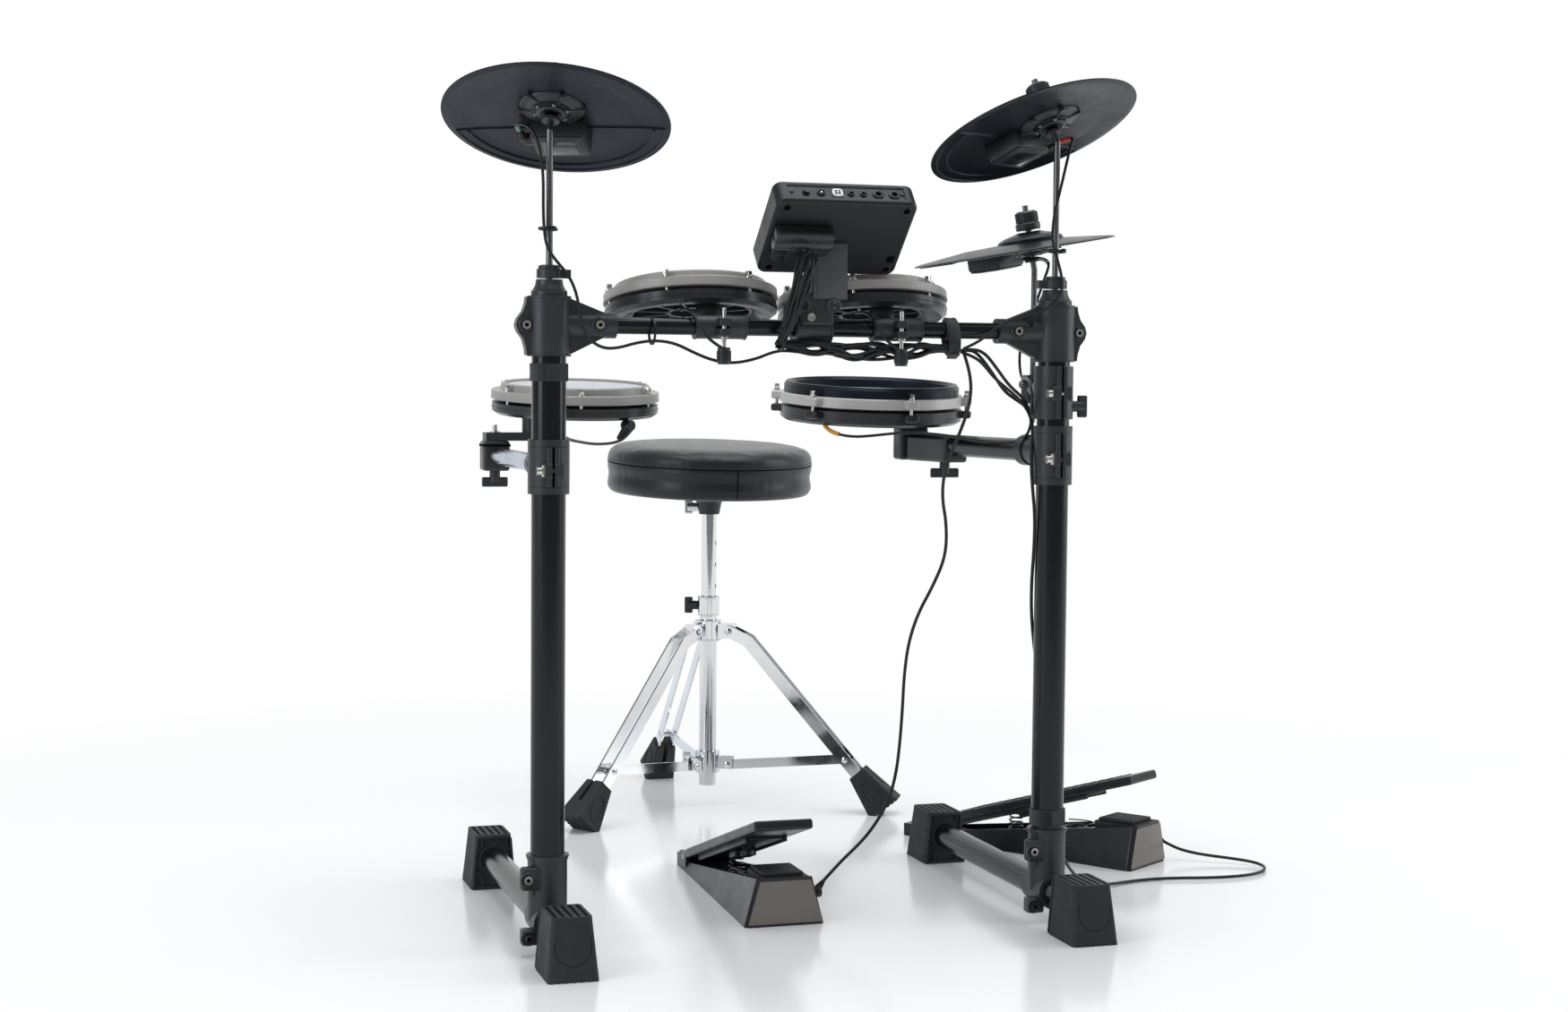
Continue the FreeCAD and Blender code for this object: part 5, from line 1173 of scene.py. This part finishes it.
make("module_bracket_face", BRACKET_GREY, "module", "black_plastic",
     (slab, (-5.2, 35.2), (-26.0, -23.4), (729, 791), RACK, 1.1),
     (slab, (-1, 31), (-26.8, -25.4), (733, 784), RACK, 0.6))
print("module dressed")

# %% [markdown]
# ## Pedals
# Both pedals are the same: a wedge base with a satin front plate, a hinged board with a grooved tread, a
# return spring between them and a rubber stop. The spring is one wound wire, made in place on the base.

# %% Pedals
PIN_Y, PIN_Z = 340, 16
TOE_Y, TOE_Z = 8, 116
RISE = math.atan2(TOE_Z - PIN_Z, PIN_Y - TOE_Y)
SPRING_Y, SPRING_LOW, SPRING_HIGH = 205, 10, 50

tread = pattern_part("tread_bar", (slab, (-30, 30), (-1.6, 1.6), (-0.6, 1.1), FLAT, 0.5))
for name in PEDALS:
    base = pedal_place(name)
    hinge = base @ Matrix.Translation((0, PIN_Y, PIN_Z))
    board = hinge @ Matrix.Rotation(-RISE, 4, "X") @ Matrix.Rotation(math.pi, 4, "Z")
    panel = [(-45, 3.2), (45, 3.2), (43.5, 9), (31, 53.5), (-31, 53.5), (-43.5, 9)]
    make(name + "_front_plate", PEDAL_FRONT, "root", "pedal_metal", (plate, panel, (-0.5, 0.6), base, 0.3))
    bars = {"Part": tread, "Count": 18, "Finish": RUBBER_BLACK, "Step": (0, 14, 0)}
    grown(name + "_tread", LINE, board @ Matrix.Translation((0, 72, 8)), bars, name + "_board")
    works = bmesh.new()
    slab(works, (-22, 22), (60, 270), (-7.5, -3.6), board, 1.0)
    slab(works, (-14, 14), (150, 178), (-18, -7), board, 2.0)
    for x in (-24.5, 24.5):
        slab(works, (x - 1.8, x + 1.8), (50, 270), (-10.5, -3.6), board, 0.8)
    lathe(works, [(0, -9), (7, -9), (8, -8), (8, -2), (5, -1), (5, 6), (0, 6)],
          board @ Matrix.Translation((6, 205, -12)), 28)
    settle(name + "_board_works", works, CLAMP_BLACK, name + "_board")
    sole = bmesh.new()
    slab(sole, (-26, 26), (74, 346), (7.6, 9.6), base, 0.6)
    slab(sole, (-12, 12), (120, 190), (9.4, 23), base, 2.0)
    slab(sole, (-22, 22), (92, 118), (9.4, 36), base, 2.0)
    for x, y in ((-34, 24), (-25.5, 340), (34, 24), (25.5, 340)):
        lathe(sole, [(0, 0), (9, 0), (9, 1.2), (0, 1.2)], base @ Matrix.Translation((x, y, 0)), 24)
    settle(name + "_base_works", sole, CLAMP_BLACK, "root")
    spring_foot, spring_head = Vector((0, SPRING_Y, SPRING_LOW)), Vector((0, SPRING_Y, SPRING_HIGH))
    winding = {"Finish": ROD_SMOKE, "Rotations": 7.0, "Low Radius": 10.0, "High Radius": 8.0, "Wire": 1.1,
               "Height": 40.0}
    spring = grow(name + "_spring", COIL, base @ Matrix.Translation(spring_foot), winding)
    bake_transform(spring)
    loops = bmesh.new()
    for height, reach in ((38, 34), (43, 44)):
        turns = [math.radians(-100 + 200 * k / 24) for k in range(25)]
        bow = [(reach * 0.55 * math.sin(t), 128 - reach * math.cos(t), height + 3 * math.cos(t))
               for t in turns]
        bead(loops, bow, base, 0.9)
    settle(name + "_wire_loops", loops, ROD_SMOKE, "root")
    make(name + "_stop_bolt", BOLT_NICKEL, "root", "bolt_steel",
         (rod, (-24, 106, 28), (-18, 106, 28), 4.2, base, 6, 0.6),
         (rod, (-26.8, 106, 28), (-23, 106, 28), 2.6, base, 16, 0.4))
print("pedals:", len(PEDALS))

# %% [markdown]
# ## Rack feet and clamp bolts
# The rubber feet are hollow: on the side that faces the tube, a web of thin ribs stands round the tube's
# seat. The clamps' screws sit in round bosses with a washer, which catch the light as small bright rings.
# Their hex sockets are painted shade: near-black hexagons in the bolt heads.

# %% Feet and bolts
feet = bmesh.new()
for x in (-POST_X, POST_X):
    for face_y, out in ((-70, 1), (330, -1)):
        rim = sorted((face_y, face_y + out * 3.2))
        place = stand((x, 0, 0))
        for side in (-1, 1):
            plate(feet, [(side * 24.4, 1), (side * 27.6, 1), (side * 22.2, 64), (side * 19.4, 64)], rim,
                  place, 0.5)
        for half, low, high in ((20.6, 63.6, 67.4), (27, 0.5, 4)):
            slab(feet, (-half, half), rim, (low, high), place, 0.6)
        for rib in (-15, 15):
            for z_span in ((3, 18), (56, 65)):
                slab(feet, (rib - 1.2, rib + 1.2), rim, z_span, place, 0.5)
        for z in (22, 50):
            for left, right in ((-22, -17), (17, 22)):
                slab(feet, (left, right), rim, (z - 1.2, z + 1.2), place, 0.5)
        hoop(feet, [(16.3, 0), (18.6, 0), (19.4, 1), (19.4, 3.6), (16.3, 3.6)],
             axis_place((x, face_y, 37), (x, face_y + out, 37), RACK))
settle("foot_ribs", feet, RUBBER_BLACK, "root")

bosses = bmesh.new()
# The hexagons below are painted shade of the bolts' hex sockets.
sockets = bmesh.new()
for side in (-1, 1):
    x = side * POST_X
    for spot in ((x + side * 27, -7.5, 695), (x - side * 53, -15.5, 696), (x - 26, -20, 86),
                 (x - 26, -24, 22)):
        place = stand(spot, (0, -1, 0), (1, 0, 0))
        hoop(bosses, [(5.6, -1.2), (8.0, -1.2), (8.6, -0.4), (8.6, 1.0), (7.8, 1.8), (5.6, 1.8)], place, 32)
        lathe(sockets, [(0, 2.2), (2.25, 2.2), (2.25, 4.2), (0, 3.4)], place, 6)
    for low, high, radius in ((661, 663.5, 24.4), (724, 727, 24.2)):
        hoop(bosses, [(23.2, low), (radius, low + 0.4), (radius, high - 0.4), (23.2, high)], stand((x, 0, 0)),
             56)
    hoop(bosses, [(19.2, 107), (23.8, 107.4), (23.8, 109.6), (19.2, 110.6)], stand((x, 0, 0)), 56)
settle("clamp_bosses", bosses, CLAMP_BLACK, "root")
settle("bolt_sockets", sockets, PAINTED_SHADE, "root")
print("feet and bolts dressed")

# %% [markdown]
# ## Throne hardware
# The tripod is chromed flat bar, riveted at each pivot. Its rubber feet have an oval outline on each side and
# a ribbed toe.

# %% Throne hardware
LEG_ANGLES = (92, 212, 332)
SHOE_TOP, SHOE_TOE = Vector((227, 0, 60)), Vector((268, 0, 10))
SHOE_ACROSS = Vector((50, 0, 41)).normalized()


def dome_rivet(bm, start, end, place):
    """Rivet with a domed head at each end."""
    run = (Vector(end) - Vector(start)).normalized()
    for spot, out in ((Vector(start), -run), (Vector(end), run)):
        lathe(bm, [(0, -0.4), (4.8, -0.4), (4.4, 1.0), (2.6, 2.0), (0, 2.3)],
              axis_place(spot, spot + out, place), 20)


for number, degrees in enumerate(LEG_ANGLES, 1):
    place = THRONE @ Matrix.Rotation(math.radians(degrees), 4, "Z")
    leg = "leg_%d" % number
    for rivet, body, x, half, z in ((leg + "_rivets", leg, 209, 13, 79),
                                    ("upper_pivot_%d" % number, "throne_base", 33, 15, 264),
                                    ("lower_pivot_%d" % number, "fold_collar", 31, 7, 64)):
        make(rivet, CHROME, body, "chrome", (dome_rivet, (x, -half, z), (x, half, z), place))
    shoe = bmesh.new()
    for side in (-1, 1):
        oval = []
        for k in range(36):
            turn = math.radians(10 * k)
            share = 0.56 + 0.3 * math.cos(turn)
            spot = SHOE_TOP + (SHOE_TOE - SHOE_TOP) * share + SHOE_ACROSS * (11 * math.sin(turn))
            oval.append(spot + Vector((0, side * (16.2 + 7 * share), 0)))
        bead(shoe, oval, place, 1.1, closed=True)
    for step in (-8, 0, 8, 16, 23):
        spot = SHOE_TOE + SHOE_ACROSS * step
        rod(shoe, spot + Vector((0, -20, 0)), spot + Vector((0, 20, 0)), 2.4, place, 12, 0.6)
    settle(leg + "_shoe_trim", shoe, RUBBER_BLACK, leg)
rings = bmesh.new()
for low, high, radius in ((312, 315, 16.6), (286, 289, 16.4), (277, 280, 19.6), (249, 251.5, 19.5)):
    edge = radius - 0.6
    hoop(rings, [(12.8, low), (edge, low), (radius, low + 0.6), (radius, high - 0.6), (edge, high),
                 (12.8, high)],
         THRONE, 48)
settle("throne_collar_rings", rings, CHROME, "throne_base")
print("throne hardware dressed")

# %% [markdown]
# ## Seat cushion
# The seat is foam in black vinyl: a top panel sewn to a side band, which is pulled down under the board and
# creases where it turns. A lathe makes the slack cover, voxel remesh gives it even cells, and cloth with a
# little pressure swells it while the base is pinned. The seams come after, found on the swollen surface by
# casting rays at it.

# %% Seat cushion
SEAM_Z = 514.0
COVER = [(0, 468.3), (128, 468.3), (144, 469), (150.5, 473), (152.5, 480), (151, 487), (147.5, 494),
         (149.5, 500),
         (152.5, 506), (153.2, 510), (152.4, 514), (152.8, 518), (151.8, 525), (147.5, 532.5), (139, 537),
         (118, 539.2), (70, 540.6), (0, 541.2)]
MOST_SWELL = 1.5
CELL = 0.005
PIN_BELOW = 0.4705
FRAMES = 20
ROUND = 120
STITCHES = 230

cover = bmesh.new()
lathe(cover, COVER, THRONE, ROUND)
bmesh.ops.recalc_face_normals(cover, faces=cover.faces)
seat = link(bpy.data.objects.new("seat_cushion", closed_mesh("seat_cover", cover)))
remesh = seat.modifiers.new("even_cells", "REMESH")
remesh.mode = "VOXEL"
remesh.voxel_size = CELL
mesh = mesh_of(seat)
seat.modifiers.clear()
seat.data = mesh
slack = [vert.co.copy() for vert in mesh.vertices]
pinned = seat.vertex_groups.new(name="base")
pinned.add([v.index for v in mesh.vertices if v.co.z < PIN_BELOW], 1.0, "REPLACE")
cloth = seat.modifiers.new("vinyl", "CLOTH")
cloth.settings.use_pressure = True
cloth.settings.uniform_pressure_force = 4.0
cloth.settings.effector_weights.gravity = 0.0
cloth.settings.vertex_group_mass = "base"
cloth.settings.tension_stiffness = 25
cloth.settings.bending_stiffness = 2.0
cloth.point_cache.frame_start, cloth.point_cache.frame_end = 1, FRAMES
for number in range(1, FRAMES + 1):
    bpy.context.scene.frame_set(number)
swollen = mesh_of(seat)
seat.modifiers.clear()
seat.vertex_groups.clear()
bpy.context.scene.frame_set(1)
seat.data = swollen
for vert, start in zip(swollen.vertices, slack):
    move = vert.co - start
    if move.length > MOST_SWELL * MM:
        vert.co = start + move.normalized() * MOST_SWELL * MM
centre = THRONE.translation
for vert in seat.data.vertices:
    flat = Vector((vert.co.x - centre.x, vert.co.y - centre.y, 0))
    turn = math.atan2(flat.y, flat.x)
    height = vert.co.z / MM
    side = max(0.0, min(1.0, (flat.length / MM - 120) / 25))
    band = math.exp(-((height - 494) / 9) ** 2)
    crease = math.sin(9 * turn + 1.3 * math.sin(4 * turn))
    crease += 0.6 * math.sin(23 * turn + 2.0 * math.sin(5 * turn))
    pull = side * (0.12 * band * crease + 0.1 * math.sin(31 * turn) * math.exp(-((height - 476) / 6) ** 2))
    seam = side * 1.7 * math.exp(-((height - SEAM_Z) / 2.6) ** 2)
    if flat.length > 1e-6:
        vert.co += flat.normalized() * (pull - seam) * MM
even = seat.modifiers.new("even", "SMOOTH")
even.factor, even.iterations = 0.5, 4
smooth = seat.modifiers.new("smooth", "SUBSURF")
smooth.levels = smooth.render_levels = 1
final = mesh_of(seat)
seat.modifiers.clear()
seat.data = final
final.materials.clear()
final.materials.append(SEAT_VINYL)
final.polygons.foreach_set("use_smooth", [True] * len(final.polygons))
carry(seat, "seat")
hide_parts("throne_cushion")
print("seat:", len(final.polygons), "faces")

# %% Seat seams
skin = BVHTree.FromObject(seat, bpy.context.evaluated_depsgraph_get())


def on_seat(turn, height, lift):
    """Point on the seat's side at an angle and height, lifted a little off it, in seat millimetres."""
    out = Vector((math.cos(turn), math.sin(turn), 0))
    start = centre + out * 0.3 + Vector((0, 0, height * MM))
    hit = skin.ray_cast(start, -out)[0]
    reach = math.hypot(hit.x - centre.x, hit.y - centre.y) / MM + lift
    return Vector((out.x * reach, out.y * reach, height))


def round_seat(height, lift):
    """Points all round the seat's side at one height."""
    return [on_seat(2 * math.pi * k / ROUND, height, lift) for k in range(ROUND)]


upright = [on_seat(math.radians(-90), height, 0.0) for height in range(472, 515, 3)]
# The seam beads are near-black: painted shade in the seam's groove, round the seat and up its side.
make("seat_welts", PAINTED_SHADE, "seat", "seat_vinyl",
     (bead, round_seat(SEAM_Z, -0.1), THRONE, 0.9, True), (bead, upright, THRONE, 0.8))

seat_stitch = pattern_part("seat_stitch", (slab, (-0.45, 0.45), (-0.45, 0.45), (-1.3, 1.3), FLAT, 0.3))
seam_guide = wire("seam_guide", round_seat(SEAM_Z + 4.2, 0.05), 0.0, closed=True)[0]
grown("seat_stitches", PATH, THRONE,
      {"Part": seat_stitch, "Count": STITCHES, "Finish": LEAD_BLACK,
       "Path": seam_guide}, "seat")
bpy.data.objects.remove(seam_guide)
for part in (small_screw, grip_rib, key_screw, shell_rib, tread, seat_stitch):
    bpy.data.objects.remove(part)
pivot = row(*THRONE_SPOT[:2], 490)
sag = Matrix.Rotation(math.radians(2.6), 4, Vector((0.993, 0.121, 0.0)))
sag = Matrix.Translation(pivot) @ sag @ Matrix.Translation(-pivot)
for name in ("seat_cushion", "seat_welts", "seat_stitches"):
    bpy.data.objects[name].data.transform(sag)
print("seat seams: ring, upright and", STITCHES, "stitches")

# %% [markdown]
# ## Studio
# Large soft lamps stand above and to the sides.

# %% Studio
floor_mesh = bpy.data.meshes.new("studio_floor")
floor_mesh.from_pydata([(-14, -3.3, 0), (14, -3.3, 0), (14, 14, 0), (-14, 14, 0)], [], [(0, 1, 2, 3)])
link(bpy.data.objects.new("studio_floor", floor_mesh))
floor_finish = bpy.data.materials.new("floor_pale")
floor_finish.use_nodes = True
tree = floor_finish.node_tree
gloss = tree.nodes["Principled BSDF"]
feed(tree, gloss, {"Base Color": (0.80, 0.805, 0.81, 1), "Roughness": 0.16})
place = add_node(tree, "ShaderNodeTexCoord").outputs["Object"]
distance = add_node(tree, "ShaderNodeVectorMath", {0: place}, operation="LENGTH")
far = ranged(tree, distance.outputs["Value"], 0.7, 1.7)
rays = add_node(tree, "ShaderNodeLightPath").outputs
mirrored = maths(tree, "MAXIMUM", rays["Is Glossy Ray"], rays["Is Transmission Ray"])
seen = maths(tree, "MAXIMUM", rays["Is Camera Ray"], mirrored)
white = add_node(tree, "ShaderNodeEmission", {"Color": (1, 1, 1, 1)})
fade = add_node(tree, "ShaderNodeMixShader", {
    "Fac": maths(tree, "MULTIPLY", far, seen), 1: gloss.outputs["BSDF"], 2: white.outputs["Emission"]})
feed(tree, tree.nodes["Material Output"], {"Surface": fade.outputs["Shader"]})
floor_mesh.materials.append(floor_finish)

UNSEEN_LIGHT = 0.62
world = bpy.data.worlds.new("studio_white")
bpy.context.scene.world = world
world.use_nodes = True
sky = world.node_tree
rays = add_node(sky, "ShaderNodeLightPath").outputs
direction = add_node(sky, "ShaderNodeTexCoord").outputs["Generated"]
toward = add_node(sky, "ShaderNodeVectorMath", {0: direction, 1: ahead}, operation="DOT_PRODUCT")
room = ranged(sky, toward.outputs["Value"], 0.30, 0.85, 0.24, 1.0)
mirrored = maths(sky, "MAXIMUM", rays["Is Glossy Ray"], rays["Is Transmission Ray"])
unseen = maths(sky, "SUBTRACT", 1.0, maths(sky, "MAXIMUM", rays["Is Camera Ray"], mirrored))
shown = maths(sky, "ADD", rays["Is Camera Ray"], maths(sky, "MULTIPLY", mirrored, room))
strength = maths(sky, "ADD", shown, maths(sky, "MULTIPLY", unseen, UNSEEN_LIGHT))
feed(sky, sky.nodes["Background"], {"Color": (1, 1, 1, 1), "Strength": strength})


def soft_lamp(name, spot, target, size, power):
    lamp = bpy.data.lights.new(name, "AREA")
    lamp.shape = "RECTANGLE"
    lamp.size, lamp.size_y = size
    lamp.energy = power
    lamp.color = (0.93, 0.965, 1.0)
    holder = link(bpy.data.objects.new(name, lamp))
    holder.location = spot
    holder.rotation_mode = "QUATERNION"
    holder.rotation_quaternion = (Vector(target) - Vector(spot)).to_track_quat("-Z", "Y")


soft_lamp("overhead", (0.1, -0.3, 3.2), (0, 0, 0.4), (2.6, 2.6), 62)
soft_lamp("left_box", (-2.6, -1.2, 1.5), (0, 0, 0.6), (1.2, 2.2), 26)
soft_lamp("right_box", (2.6, -0.8, 1.5), (0, 0, 0.6), (1.2, 2.2), 26)
bpy.context.scene.view_settings.view_transform = "Standard"
print("studio: floor, white world, 3 lamps")
